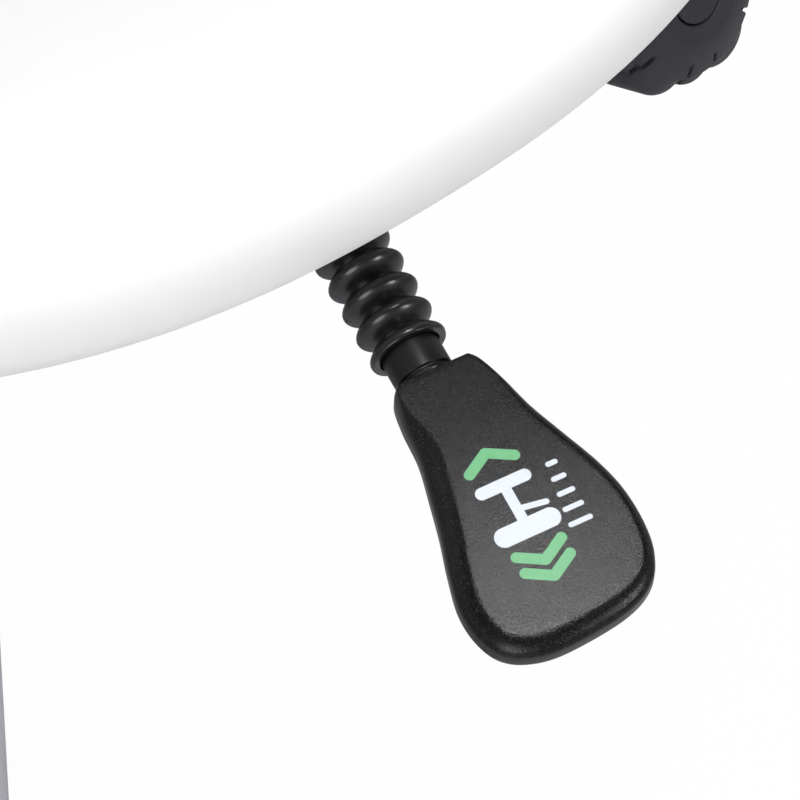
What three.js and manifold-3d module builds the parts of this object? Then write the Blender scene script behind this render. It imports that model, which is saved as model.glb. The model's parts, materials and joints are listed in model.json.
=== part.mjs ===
// Height-adjustable wobble stool: round weighted rocker base, gas column, universal tilt joint,
// lift lever with ribbed boot and paddle, wobble tension knob, one seamless padded seat.
// Millimetres, +Z up, +X to the sitter's right, +Y to the front, origin on the floor under the column.
import * as THREE from 'three'
import { mergeVertices } from 'three/addons/utils/BufferGeometryUtils.js'
import Module from 'manifold-3d'

const wasm = await Module()
wasm.setup()

const turn = 2 * Math.PI
const rad = Math.PI / 180

// Shared sizes
const gap = 0.3
const pressGap = 0.05
const runGap = 0.1
const cutOver = 2
const edge = 1
const wideEdge = 2
const roundSteps = 30
const fineSteps = 24
const pinSteps = 16
const hiddenSteps = 16
const hubSteps = 24
const smallSteps = 12
const screwSteps = 10
const cornerSteps = 4
const weldShare = 1 / 3000

// Rocker base
const rockerRadius = 186
const flatRadius = 70
const rockerRise = 16
const rockerEdgeInset = 10
const rockerEdge = rockerRadius - rockerEdgeInset
const padThickness = 8
const padLipHeight = 40
const padLipWidth = 5
const padRimRise = 12
const ballastInset = 14
const ballastRadius = rockerRadius - ballastInset
const ballastTop = 29
const shellThickness = 3
const shellFlare = 54
const shellNeckRadius = 36
const shellNeckHeight = 122
const shellCollarHeight = 132
const shellSteps = 6
const shellSweepPower = 0.92
const shellRisePower = 4
const socketFlangeRadius = 60
const socketFlangeHeight = 6
const socketRadius = 33
const socketTop = 100
const socketScrewCircle = 47
const padScrewCircle = 52
const padScrewHeadRadius = 7
const padScrewRecess = 3.5
const padScrewHeadHeight = 3
const screwRadius = 3
const screwHeadRadius = 5.5
const screwHeadHeight = 4
const screwDepth = 14
const hexKeyRadius = 2.6
const hexKeyDepth = 2
const hexSides = 6
const socketScrewCount = 4
const padScrewCount = 4

// Gas column
const tubeRadius = 25
const tubeWall = 2
const tubeBottom = 38
const tubeFloor = 4
const tubeTop = 402
const bushLength = 78
const bushFlange = 4
const cylinderRadius = 14
const cylinderTop = 608
const cylinderLength = 403
const cylinderBottom = cylinderTop - cylinderLength
const cylinderWall = 2
const cylinderRoof = 6
const taperLength = 52
const taperStart = cylinderTop - taperLength
const taperTopRadius = 13.2
const cylinderSeal = 12
const bushInner = cylinderRadius + 2 * runGap
const rodRadius = 5
const rodInside = 80
const rodTop = cylinderBottom + rodInside
const rodHeadRadius = 10
const rodHeadHeight = 8
const rodTipRadius = 4
const rodTipLength = 3
const rodCollarOver = 3
const rodCollarHeight = 3
const clipGrooveDepth = 0.8
const clipHold = 0.5
const bearingRadius = 15
const washerHeight = 1.5
const cageHeight = 4
const clipRadius = 8.5
const clipHeight = 1.4
const clipDrop = 1.6
const clipOpening = 50 * rad
const valveRadius = 4
const valveHold = 12
const valveChamfer = 2
const valveDepth = 16
const valveGap = 0.6

// Tilt joint under the seat
const pivotDrop = 16
const pivotHeight = cylinderTop - pivotDrop
const hubRadius = 21
const hubBottomDrop = 32
const hubBottom = pivotHeight - hubBottomDrop
const hubTopRise = 10
const hubTop = pivotHeight + hubTopRise
const hubFlangeRadius = 60
const hubFlangeHeight = 6
const hubFillet = 4
const ringInner = 26
const ringOuter = 34
const ringHalf = 8
const ringEdge = 1.5
const pinRadius = 4
const hubPinStart = 16
const hubPinEnd = 33.5
const panPinStart = 26.8
const panPinHeadRadius = 6.5
const panPinHeadLength = 2.5
const bufferRadius = 9
const bufferWaist = 6.5
const bufferPlace = 36

// Padded seat
const seatRise = 46
const seatUnderside = pivotHeight + seatRise
const seatHalfX = 226
const seatHalfY = 220
const seatPower = 2.36
const lowerRound = 45
const upperRoundWide = 72
const upperRoundHigh = 30
const crownHeight = 12
const coverThickness = 1.6
const coverLip = 75
const boardInset = 47
const boardThickness = 12
const boardEdge = 2
const seatSteps = 36
const arcSteps = 5
const ballastArcSteps = 3
const crownSteps = 3

// Seat carrier
const panTop = seatUnderside + coverThickness
const panSheet = 3
const panHalfX = 65
const panHalfY = 56
const panDrop = 15
const panBottom = pivotHeight - panDrop
const plateHalf = 90
const plateCorner = 16
const boltPlace = 76
const boltRadius = 4
const boltHeadRadius = 7
const boltHeadHeight = 5
const boltReach = 9
const nutRadius = 6.5
const nutFlangeRadius = 10
const nutFlangeHeight = 1.6

// Lift lever
const leverDrop = 11.8
const leverHeight = seatUnderside - leverDrop
const leverPivotX = 48
const leverStart = -7
const leverBendX = 181.4
const leverYaw = -13.1 * rad
const leverDroop = 18 * rad
const leverTwist = 8 * rad
const leverBendToNeck = 47.8
const leverRadius = 4.5
const leverBendRadius = 9
const leverBendSteps = 4
const pivotPinRadius = 2.5
const pivotPinOver = 2.5
const slotWidth = 20
const slotBelow = 16
const slotAbove = 7.8
const earThickness = 3
const earWidth = 10
const earBelow = 13
const earPlace = 9
const ribCount = 5
const ribPitch = 7.2
const ribSteps = 4
const ribRoundPower = 0.8
const ribRadius = 9.9
const ribValley = 7
const ribBore = 5.6
const lastRibBack = 9.6
const collarRadius = 7.45
const collarBack = 10.6
const collarBore = 4.8
const collarEdge = 0.8
const neckRingRadius = 7
const neckRingLength = 1
const bossRadius = 7.3
const bossTipRadius = 4.9
const bossLength = 3
const paddleLength = 76.4
const paddleHalfThickness = 5.2
const paddleCrown = 0.5
const paddleRoundWidth = 4.6
const paddleRimShare = 0.35
const paddleMiddleShare = 0.6
const paddleSocketDepth = 32
const paddleAlongShares = [0, 0.033, 0.124, 0.242, 0.366, 0.497, 0.615, 0.74, 0.844, 0.929, 0.98]
const paddleHalfWidth = 27.7
const paddleFrontShares = [0.38, 0.455, 0.56, 0.657, 0.784, 0.918, 0.993, 1, 0.941, 0.783, 0.458]
const paddleBackShares = [0.3, 0.36, 0.404, 0.427, 0.504, 0.593, 0.69, 0.769, 0.756, 0.655, 0.445]
const paddleTipShare = -0.12
const paddleLayerShares = [0, 0.3, 0.62, 0.88, 0.99]

// Tension knob at the front right
const knobX = 154.7
const knobY = 135.4
const knobDrop = 31.3
const knobYaw = 1.5 * rad
const knobRise = 19.8 * rad
const knobRadius = 27.6
const knobLobeDepth = 2.8
const knobLobes = 11
const knobStepsPerLobe = 5
const knobPhase = 26.4 * rad
const lobeFallShare = 0.12
const lobeRoundPower = 0.6
const knobDepth = 24
const knobBackEdge = 2
const knobRound = 1.4
const knobDome = 6.3
const domeRadiusShares = [0.82, 0.645, 0.475]
const domeRiseShares = [0.34, 0.74, 1]
const knobCapRadius = 7.4
const knobCapDepth = 2.4
const knobCapProud = 0.3
const studRadius = 4
const studLength = 58
const studCover = 1
const housingRadius = 11.5
const housingBore = 8.6
const housingBack = 56
const housingFront = 15
const housingLid = 3
const housingSeat = 4
const postBack = 45
const postHalfX = 11
const postHalfY = 9
const footHalf = 21
const footHeight = 4
const armThickness = 4
const armTop = panTop - panSheet - gap
const armHalfWidth = 13
const armOuterOver = 20
const armScrewPlace = 15.4
const armScrewRadius = 2.1
const armScrewHeadRadius = 3.85
const armScrewHeadHeight = 2.4
const followerRadius = 8.3
const followerHeight = 7
const followerPlace = 3.5
const springWire = 1
const springRadius = 6.8
const springTurns = 5
const springStepsPerTurn = 8
const wireSteps = 5

const materials = {
  rubber: new THREE.MeshStandardMaterial({ color: 0x1c1c1e, roughness: 0.42, metalness: 0 }),
  bootRubber: new THREE.MeshStandardMaterial({ color: 0x17171a, roughness: 0.24, metalness: 0 }),
  castIron: new THREE.MeshStandardMaterial({ color: 0x4a4b4e, roughness: 0.7, metalness: 0.8 }),
  silver: new THREE.MeshStandardMaterial({ color: 0xb9bcca, roughness: 0.3, metalness: 0.85 }),
  zinc: new THREE.MeshStandardMaterial({ color: 0x9a9da1, roughness: 0.38, metalness: 0.9 }),
  blackSteel: new THREE.MeshStandardMaterial({ color: 0x222325, roughness: 0.45, metalness: 0.5 }),
  blackPlastic: new THREE.MeshStandardMaterial({ color: 0x26272a, roughness: 0.5, metalness: 0 }),
  paddlePlastic: new THREE.MeshStandardMaterial({ color: 0x1b1b1c, roughness: 0.55, metalness: 0 }),
  knobPlastic: new THREE.MeshStandardMaterial({ color: 0x3e3e44, roughness: 0.4, metalness: 0 }),
  collarPlastic: new THREE.MeshStandardMaterial({ color: 0x2a2a2c, roughness: 0.3, metalness: 0 }),
  vinyl: new THREE.MeshStandardMaterial({ color: 0xf4f3f1, roughness: 0.5, metalness: 0 }),
  foam: new THREE.MeshStandardMaterial({ color: 0xd9c98e, roughness: 0.95, metalness: 0 }),
  plywood: new THREE.MeshStandardMaterial({ color: 0xb98f5b, roughness: 0.7, metalness: 0 })
}

const part = new THREE.Group()
part.name = 'wobble_stool'

function add(name, geometry, material) {
  const mesh = new THREE.Mesh(geometry, material)
  mesh.name = name
  part.add(mesh)
}

function toSolid(geometry) {
  const bare = geometry.clone()
  bare.deleteAttribute('normal')
  bare.deleteAttribute('uv')
  const welded = mergeVertices(bare, gap * weldShare)
  const mesh = new wasm.Mesh({
    numProp: 3,
    vertProperties: new Float32Array(welded.attributes.position.array),
    triVerts: new Uint32Array(welded.index.array)
  })
  mesh.merge()
  return new wasm.Manifold(mesh)
}

function toGeometry(solid) {
  const mesh = solid.getMesh()
  const geometry = new THREE.BufferGeometry()
  geometry.setAttribute('position', new THREE.BufferAttribute(new Float32Array(mesh.vertProperties), 3))
  geometry.setIndex(new THREE.BufferAttribute(new Uint32Array(mesh.triVerts), 1))
  geometry.computeVertexNormals()
  return geometry
}

// Closed skin through rings of equally many points, with a pole point or an open join at each end.
function ringSkin(rings, startPole, endPole, joined = false) {
  const steps = rings[0].length
  const points = rings.flat()
  const index = []
  const spans = joined ? rings.length : rings.length - 1
  for (let r = 0; r < spans; r += 1) {
    const low = r * steps
    const high = ((r + 1) % rings.length) * steps
    for (let i = 0; i < steps; i += 1) {
      const j = (i + 1) % steps
      index.push(low + i, low + j, high + j)
      index.push(low + i, high + j, high + i)
    }
  }
  if (!joined) {
    points.push(startPole, endPole)
    const start = points.length - 2
    const end = points.length - 1
    const last = (rings.length - 1) * steps
    for (let i = 0; i < steps; i += 1) {
      const j = (i + 1) % steps
      index.push(start, j, i)
      index.push(end, last + i, last + j)
    }
  }
  const geometry = new THREE.BufferGeometry()
  geometry.setAttribute('position', new THREE.Float32BufferAttribute(points.flat(), 3))
  geometry.setIndex(index)
  geometry.computeVertexNormals()
  return geometry
}

// Body of revolution about Z from [radius, height] pairs that run upwards on the outside.
function turned(profile, steps) {
  const geometry = new THREE.LatheGeometry(profile.map(([r, z]) => new THREE.Vector2(r, z)), steps)
  geometry.rotateX(Math.PI / 2)
  return geometry
}

function ringOf(inner, outer, low, high, steps) {
  return turned([[inner, low], [outer, low], [outer, high], [inner, high], [inner, low]], steps)
}

function rod(radius, low, high, steps) {
  return turned([[0, low], [radius, low], [radius, high], [0, high]], steps)
}

function box(x0, x1, y0, y1, z0, z1) {
  const geometry = new THREE.BoxGeometry(x1 - x0, y1 - y0, z1 - z0)
  geometry.translate((x0 + x1) / 2, (y0 + y1) / 2, (z0 + z1) / 2)
  return geometry
}

function alongX(geometry) {
  return geometry.clone().rotateY(Math.PI / 2)
}

function alongY(geometry) {
  return geometry.clone().rotateX(-Math.PI / 2)
}

function cut(geometry, tools) {
  let solid = toSolid(geometry)
  for (const tool of tools) {
    solid = solid.subtract(toSolid(tool))
  }
  return toGeometry(solid)
}

function fuse(geometries) {
  let solid = toSolid(geometries[0])
  for (const other of geometries.slice(1)) {
    solid = solid.add(toSolid(other))
  }
  return toGeometry(solid)
}

function aroundCircle(count, radius, shift, place) {
  for (let i = 0; i < count; i += 1) {
    const angle = shift + (turn * i) / count
    place(radius * Math.cos(angle), radius * Math.sin(angle), i + 1)
  }
}

function socketHeadScrew(head, headHeight, shank, length) {
  const body = turned([[0, -length], [shank, -length], [shank, 0], [head, 0], [head, headHeight],
    [0, headHeight]], screwSteps)
  const key = rod(hexKeyRadius, headHeight - hexKeyDepth, headHeight + cutOver, hexSides)
  return cut(body, [key])
}

// Height of the rocker's underside at a radius: flat in the middle, then a rolling curve.
function rockerUnderside(radius) {
  const out = Math.max(0, radius - flatRadius)
  return rockerRise * (out / (rockerEdge - flatRadius)) ** 2
}

function rockerPad() {
  const outer = [[0, 0], [flatRadius, 0]]
  for (let i = 1; i <= arcSteps; i += 1) {
    const radius = flatRadius + ((rockerEdge - flatRadius) * i) / arcSteps
    outer.push([radius, rockerUnderside(radius)])
  }
  outer.push([rockerRadius - padLipWidth / 3, rockerRise + padRimRise / 2])
  outer.push([rockerRadius, rockerRise + padRimRise])
  outer.push([rockerRadius, padLipHeight], [rockerRadius - padLipWidth, padLipHeight])
  outer.push([rockerRadius - padLipWidth, padLipHeight - padLipWidth])
  outer.push([ballastRadius + gap, padLipHeight - padLipWidth])
  for (let i = arcSteps; i >= 0; i -= 1) {
    const radius = flatRadius + ((ballastRadius + gap - flatRadius) * i) / arcSteps
    outer.push([radius, rockerUnderside(radius) + padThickness])
  }
  outer.push([0, padThickness])
  const tools = []
  aroundCircle(padScrewCount, padScrewCircle, Math.PI / 4, (x, y) => {
    tools.push(rod(padScrewHeadRadius + gap, -cutOver, padScrewRecess + padScrewHeadHeight + gap, smallSteps)
      .translate(x, y, 0))
    tools.push(rod(screwRadius + gap, 0, padThickness + cutOver, smallSteps).translate(x, y, 0))
  })
  return cut(turned(outer, roundSteps), tools)
}

function ballastDisc() {
  const bore = tubeRadius + gap
  const profile = [[bore, padThickness + gap], [flatRadius, padThickness + gap]]
  for (let i = 1; i <= ballastArcSteps; i += 1) {
    const radius = flatRadius + ((ballastRadius - flatRadius) * i) / ballastArcSteps
    profile.push([radius, rockerUnderside(radius) + padThickness + gap])
  }
  profile.push([ballastRadius, ballastTop], [bore, ballastTop], [bore, padThickness + gap])
  const tools = []
  aroundCircle(padScrewCount, padScrewCircle, Math.PI / 4, (x, y) => {
    tools.push(rod(screwRadius + gap, 0, padThickness + screwDepth, smallSteps).translate(x, y, 0))
  })
  aroundCircle(socketScrewCount, socketScrewCircle, 0, (x, y) => {
    const low = ballastTop + gap + socketFlangeHeight - screwDepth - cutOver
    tools.push(rod(screwRadius + gap, low, ballastTop + cutOver, smallSteps).translate(x, y, 0))
  })
  return cut(turned(profile, roundSteps), tools)
}

// Bell curve of the base cover: from the lip it sweeps in and up to the neck.
function shellProfile(inset) {
  const points = []
  const rim = rockerRadius - padLipWidth - gap
  const foot = padLipHeight - padLipWidth + gap
  for (let i = 0; i <= shellSteps; i += 1) {
    const share = i / shellSteps
    const sweep = Math.sin((share * Math.PI) / 2) ** shellSweepPower
    const rise = shellFlare * share + (shellNeckHeight - padLipHeight - shellFlare) * share ** shellRisePower
    points.push([rim - (rim - shellNeckRadius) * sweep - inset, foot + rise + padLipWidth * share])
  }
  points.push([shellNeckRadius - inset, shellCollarHeight - (inset > 0 ? shellThickness : 0)])
  return points
}

function baseShell() {
  const outside = shellProfile(0)
  const inside = shellProfile(shellThickness).map(([r, z]) => [Math.max(r, tubeRadius + 4 * gap), z])
  const profile = [...outside, [tubeRadius + gap, shellCollarHeight],
    [tubeRadius + gap, shellCollarHeight - shellThickness], ...inside.reverse()]
  profile.push(profile[0])
  return turned(profile, roundSteps)
}

function tubeSocket() {
  const low = ballastTop + gap
  const flangeTop = low + socketFlangeHeight
  const bore = tubeRadius + pressGap
  const fillet = socketFlangeHeight
  const profile = [[bore, low], [socketFlangeRadius, low], [socketFlangeRadius, flangeTop],
    [socketRadius + fillet, flangeTop], [socketRadius, flangeTop + fillet],
    [socketRadius - cutOver, socketTop], [bore, socketTop], [bore, low]]
  const tools = []
  aroundCircle(socketScrewCount, socketScrewCircle, 0, (x, y) => {
    tools.push(rod(screwRadius + gap, low - cutOver, flangeTop + cutOver, smallSteps).translate(x, y, 0))
  })
  return cut(turned(profile, roundSteps), tools)
}

function addBaseScrews() {
  aroundCircle(socketScrewCount, socketScrewCircle, 0, (x, y, number) => {
    const screw = socketHeadScrew(screwHeadRadius, screwHeadHeight, screwRadius, screwDepth)
    screw.translate(x, y, ballastTop + 2 * gap + socketFlangeHeight)
    add(`socket_screw_${number}`, screw, materials.zinc)
  })
  aroundCircle(padScrewCount, padScrewCircle, Math.PI / 4, (x, y, number) => {
    const screw = socketHeadScrew(padScrewHeadRadius, padScrewHeadHeight, screwRadius, screwDepth)
    screw.rotateX(Math.PI)
    screw.translate(x, y, padScrewRecess + padScrewHeadHeight)
    add(`pad_screw_${number}`, screw, materials.zinc)
  })
}

function columnTube() {
  const inner = tubeRadius - tubeWall
  const hole = rodTipRadius + gap
  return turned([[hole, tubeBottom], [tubeRadius, tubeBottom], [tubeRadius, tubeTop], [inner, tubeTop],
    [inner, tubeBottom + tubeFloor], [hole, tubeBottom + tubeFloor], [hole, tubeBottom]], roundSteps)
}

function guideBush() {
  const outer = tubeRadius - tubeWall - gap
  const low = tubeTop - bushLength
  const seat = tubeTop + gap
  const rim = tubeRadius - gap
  return turned([[bushInner, low], [outer, low], [outer, seat], [rim, seat], [rim, seat + bushFlange / 2],
    [outer, seat + bushFlange], [bushInner, seat + bushFlange], [bushInner, low]], roundSteps)
}

function bearingStack() {
  const low = tubeBottom + tubeFloor
  const bore = rodRadius + gap
  const cageLow = low + washerHeight + 2 * gap
  const upperLow = cageLow + cageHeight + gap
  add('bearing_lower_washer', ringOf(bore, bearingRadius, low + gap, low + gap + washerHeight, hiddenSteps),
    materials.zinc)
  const rib = cageHeight / 3
  const mid = (bore + bearingRadius) / 2
  const cage = turned([[bore, cageLow + rib], [mid - rib, cageLow + rib], [mid, cageLow], [mid + rib, cageLow + rib],
    [bearingRadius - edge, cageLow + rib], [bearingRadius - edge, cageLow + 2 * rib], [mid + rib, cageLow + 2 * rib],
    [mid, cageLow + cageHeight], [mid - rib, cageLow + 2 * rib], [bore, cageLow + 2 * rib],
    [bore, cageLow + rib]], hiddenSteps)
  add('bearing_cage', cage, materials.blackPlastic)
  add('bearing_upper_washer', ringOf(bore, bearingRadius, upperLow, upperLow + washerHeight, hiddenSteps),
    materials.zinc)
  return upperLow + washerHeight + gap
}

function pistonRod(shoulder) {
  const clipLow = tubeBottom - clipDrop - clipHeight
  const tip = clipLow - gap - rodTipLength
  const headLow = rodTop - rodHeadHeight
  const collar = rodRadius + rodCollarOver
  const groove = rodTipRadius - clipGrooveDepth
  return turned([[0, tip], [rodTipRadius, tip], [rodTipRadius, clipLow - gap / 2], [groove, clipLow - gap / 2],
    [groove, clipLow + clipHeight + gap / 2], [rodTipRadius, clipLow + clipHeight + gap / 2],
    [rodTipRadius, tubeBottom + tubeFloor + gap], [rodRadius, tubeBottom + tubeFloor + gap], [rodRadius, shoulder],
    [collar, shoulder], [collar, shoulder + rodCollarHeight], [rodRadius, shoulder + 2 * rodCollarHeight],
    [rodRadius, headLow],
    [rodHeadRadius, headLow], [rodHeadRadius, rodTop], [0, rodTop]], hiddenSteps)
}

function retainingClip() {
  const low = tubeBottom - clipDrop - clipHeight
  const disc = ringOf(rodTipRadius - clipHold, clipRadius, low, low + clipHeight, hiddenSteps)
  const reach = clipRadius + cutOver
  const half = reach * Math.tan(clipOpening / 2)
  const mouth = box(rodTipRadius / 2, reach, -half / 2, half / 2, low - cutOver, low + clipHeight + cutOver)
  return cut(disc, [mouth])
}

function gasCylinder() {
  const bore = rodRadius + gap
  const inner = cylinderRadius - cylinderWall
  const guide = valveRadius + runGap
  const floor = cylinderTop - valveDepth
  const roof = floor - cylinderRoof
  const seal = cylinderBottom + cylinderSeal
  return turned([[bore, cylinderBottom], [cylinderRadius - edge, cylinderBottom],
    [cylinderRadius, cylinderBottom + edge], [cylinderRadius, taperStart], [taperTopRadius, cylinderTop - edge],
    [taperTopRadius - edge, cylinderTop], [guide, cylinderTop], [guide, floor], [valveRadius / 2, floor],
    [valveRadius / 2, roof], [inner - wideEdge, roof], [inner, roof - wideEdge], [inner, seal], [bore, seal],
    [bore, cylinderBottom]], fineSteps)
}

function valvePin() {
  const top = leverHeight - leverRadius - valveGap
  const low = cylinderTop - valveHold
  return turned([[0, low], [valveRadius, low], [valveRadius, top - valveChamfer],
    [valveRadius - valveChamfer, top], [0, top]], hiddenSteps)
}

// Taper socket with the spring flange; cross pins along Y carry the tilt ring.
function columnHub() {
  const slope = (cylinderRadius - taperTopRadius) / taperLength
  const bore = (height) => cylinderRadius - slope * (height - taperStart) + 2 * pressGap
  const flangeTop = hubBottom + hubFlangeHeight
  const body = turned([[bore(hubBottom), hubBottom], [hubFlangeRadius - edge, hubBottom],
    [hubFlangeRadius, hubBottom + edge], [hubFlangeRadius, flangeTop], [hubRadius + hubFillet, flangeTop],
    [hubRadius, flangeTop + hubFillet], [hubRadius, hubTop - wideEdge], [hubRadius - wideEdge, hubTop],
    [bore(hubTop), hubTop], [bore(hubBottom), hubBottom]], hubSteps)
  const pinBore = alongY(rod(pinRadius + pressGap, hubPinStart - gap, hubPinEnd + cutOver, pinSteps))
  pinBore.translate(0, 0, pivotHeight)
  return cut(body, [pinBore, pinBore.clone().rotateZ(Math.PI)])
}

function gimbalRing() {
  const half = ringHalf
  const body = turned([[ringInner, -half], [ringOuter - ringEdge, -half], [ringOuter, ringEdge - half],
    [ringOuter, half - ringEdge], [ringOuter - ringEdge, half], [ringInner, half], [ringInner, -half]], hubSteps)
  const reach = ringOuter + cutOver
  const across = alongY(rod(pinRadius + runGap, -reach, reach, pinSteps))
  const along = alongX(rod(pinRadius + pressGap, -reach, reach, pinSteps))
  const ring = cut(body, [across, along])
  return ring.translate(0, 0, pivotHeight)
}

function addJointPins() {
  const hubPin = alongY(rod(pinRadius, hubPinStart, hubPinEnd, pinSteps)).translate(0, 0, pivotHeight)
  add('hub_pin_front', hubPin, materials.zinc)
  add('hub_pin_back', hubPin.clone().rotateZ(Math.PI), materials.zinc)
  const headLow = panHalfX + gap
  const headTop = headLow + panPinHeadLength
  const panPin = turned([[0, panPinStart], [pinRadius, panPinStart], [pinRadius, headLow],
    [panPinHeadRadius, headLow], [panPinHeadRadius, headTop - edge], [panPinHeadRadius - edge, headTop],
    [0, headTop]], pinSteps)
  const right = alongX(panPin).translate(0, 0, pivotHeight)
  add('gimbal_pin_right', right, materials.zinc)
  add('gimbal_pin_left', right.clone().rotateZ(Math.PI), materials.zinc)
}

function addBuffers() {
  const low = hubBottom + hubFlangeHeight + gap
  const high = panTop - panSheet - gap
  const third = (high - low) / 3
  const profile = [[0, low], [bufferRadius, low], [bufferRadius, low + third / 3], [bufferWaist, low + third],
    [bufferRadius - edge / 2, (low + high) / 2], [bufferWaist, high - third], [bufferRadius, high - third / 3],
    [bufferRadius, high], [0, high]]
  let number = 1
  for (const sideX of [1, -1]) {
    for (const sideY of [1, -1]) {
      const buffer = turned(profile, screwSteps).translate(sideX * bufferPlace, sideY * bufferPlace, 0)
      add(`wobble_buffer_${number}`, buffer, materials.rubber)
      number += 1
    }
  }
}

function roundedPlate(half, corner, low, high) {
  const shape = new THREE.Shape()
  shape.moveTo(half, corner - half)
  shape.lineTo(half, half - corner)
  shape.absarc(half - corner, half - corner, corner, 0, Math.PI / 2, false)
  shape.lineTo(corner - half, half)
  shape.absarc(corner - half, half - corner, corner, Math.PI / 2, Math.PI, false)
  shape.lineTo(-half, corner - half)
  shape.absarc(corner - half, corner - half, corner, Math.PI, 1.5 * Math.PI, false)
  shape.lineTo(half - corner, -half)
  shape.absarc(half - corner, corner - half, corner, 1.5 * Math.PI, turn, false)
  const plate = new THREE.ExtrudeGeometry(shape, { depth: high - low, bevelEnabled: false, curveSegments: cornerSteps })
  plate.translate(0, 0, low)
  return plate
}

// Pressed carrier: top plate bolted to the board, open box below it, two ears for the lever pin.
function seatPan() {
  const under = panTop - panSheet
  const overlap = panSheet / 2
  const plate = roundedPlate(plateHalf, plateCorner, under, panTop)
  const outer = box(-panHalfX, panHalfX, -panHalfY, panHalfY, panBottom, under + overlap)
  const inner = box(panSheet - panHalfX, panHalfX - panSheet, panSheet - panHalfY, panHalfY - panSheet,
    panBottom - cutOver, under)
  const walls = cut(outer, [inner])
  const earBack = leverPivotX - earWidth / 2
  const earFront = leverPivotX + earWidth / 2
  const earLow = leverHeight - earBelow
  const ear = box(earBack, earFront, earPlace, earPlace + earThickness, earLow, under + overlap)
  const otherEar = box(earBack, earFront, -earPlace - earThickness, -earPlace, earLow, under + overlap)
  const joined = fuse([plate, walls, ear, otherEar])
  const tools = [
    box(panHalfX - 2 * panSheet, panHalfX + cutOver, -slotWidth / 2, slotWidth / 2, leverHeight - slotBelow,
      leverHeight + slotAbove),
    alongX(rod(pinRadius + runGap, -panHalfX - cutOver, panHalfX + cutOver, pinSteps)).translate(0, 0, pivotHeight),
    alongY(rod(pivotPinRadius + pressGap, -slotWidth, slotWidth, smallSteps)).translate(leverPivotX, 0, leverHeight)
  ]
  for (const x of [boltPlace, -boltPlace]) {
    for (const y of [boltPlace, -boltPlace]) {
      tools.push(rod(boltRadius + gap, under - cutOver, panTop + cutOver, smallSteps).translate(x, y, 0))
    }
  }
  return cut(joined, tools)
}

function addSeatBolts() {
  const boardLow = seatUnderside + coverThickness + gap
  let number = 1
  for (const x of [boltPlace, -boltPlace]) {
    for (const y of [boltPlace, -boltPlace]) {
      const onArm = x > 0 && y > 0
      const under = onArm ? armTop - armThickness : panTop - panSheet
      const shank = boardLow + boltReach - under + gap
      const bolt = socketHeadScrew(boltHeadRadius, boltHeadHeight, boltRadius, shank)
      bolt.rotateX(Math.PI)
      bolt.translate(x, y, under - gap)
      add(`seat_bolt_${number}`, bolt, materials.zinc)
      const nutTop = boardLow + boardThickness
      const nut = ringOf(boltRadius + gap, nutRadius, nutTop - boltReach, nutTop, screwSteps)
      const flange = ringOf(boltRadius + gap, nutFlangeRadius, nutTop - nutFlangeHeight, nutTop, screwSteps)
      add(`t_nut_${number}`, fuse([nut, flange]).translate(x, y, 0), materials.zinc)
      number += 1
    }
  }
}

function seatRing(inset, height) {
  const ring = []
  const halfX = seatHalfX - inset
  const halfY = seatHalfY - inset
  for (let i = 0; i < seatSteps; i += 1) {
    const angle = (turn * i) / seatSteps
    const c = Math.cos(angle)
    const s = Math.sin(angle)
    const size = (Math.abs(c) ** seatPower + Math.abs(s) ** seatPower) ** (-1 / seatPower)
    ring.push([halfX * size * c, halfY * size * s, height])
  }
  return ring
}

// Rings of the cushion's skin from the underside out, round the side, over the top to the crown.
function cushionRings(skin, lowest) {
  const rings = []
  const waist = seatUnderside + lowerRound
  for (let i = arcSteps; i >= 0; i -= 1) {
    const angle = ((Math.PI / 2) * i) / arcSteps
    const round = lowerRound - skin
    const height = Math.max(waist - round * Math.sin(angle), lowest)
    const sink = Math.min(1, (waist - height) / round)
    rings.push(seatRing(lowerRound - round * Math.sqrt(1 - sink * sink), height))
  }
  for (let i = 1; i <= arcSteps; i += 1) {
    const angle = ((Math.PI / 2) * i) / arcSteps
    const inset = skin + (upperRoundWide - skin) * (1 - Math.cos(angle))
    rings.push(seatRing(inset, waist + (upperRoundHigh - skin) * Math.sin(angle)))
  }
  for (let i = 1; i <= crownSteps; i += 1) {
    const share = i / (crownSteps + 1)
    const inset = upperRoundWide + (seatHalfY - upperRoundWide) * share
    rings.push(seatRing(inset, waist + upperRoundHigh - skin + crownHeight * (1 - (1 - share) ** 2)))
  }
  return rings
}

function seatCover() {
  const lipTop = seatUnderside + coverThickness
  const outside = [seatRing(coverLip, seatUnderside), ...cushionRings(0, seatUnderside)]
  const inside = [seatRing(coverLip, lipTop), ...cushionRings(coverThickness, lipTop)]
  const top = seatUnderside + lowerRound + upperRoundHigh + crownHeight
  return ringShell(outside, inside, [0, 0, top], [0, 0, top - coverThickness])
}

// Open-bottomed shell between two skins that meet in a pole each and share the turned-under lip.
function ringShell(outside, inside, outerPole, innerPole) {
  const rings = [...inside.slice().reverse(), ...outside]
  return ringSkin(rings, innerPole, outerPole)
}

function seatFoam() {
  const skin = coverThickness + 3 * gap
  const low = seatUnderside + coverThickness + 2 * gap + boardThickness
  const rings = cushionRings(skin, low)
  const top = seatUnderside + lowerRound + upperRoundHigh + crownHeight - skin
  const kept = rings.filter((ring, i) => i === 0 || ring[0][2] > low + gap || rings[i + 1][0][2] > low + gap)
  return ringSkin(kept.slice(1), [0, 0, low], [0, 0, top])
}

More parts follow.
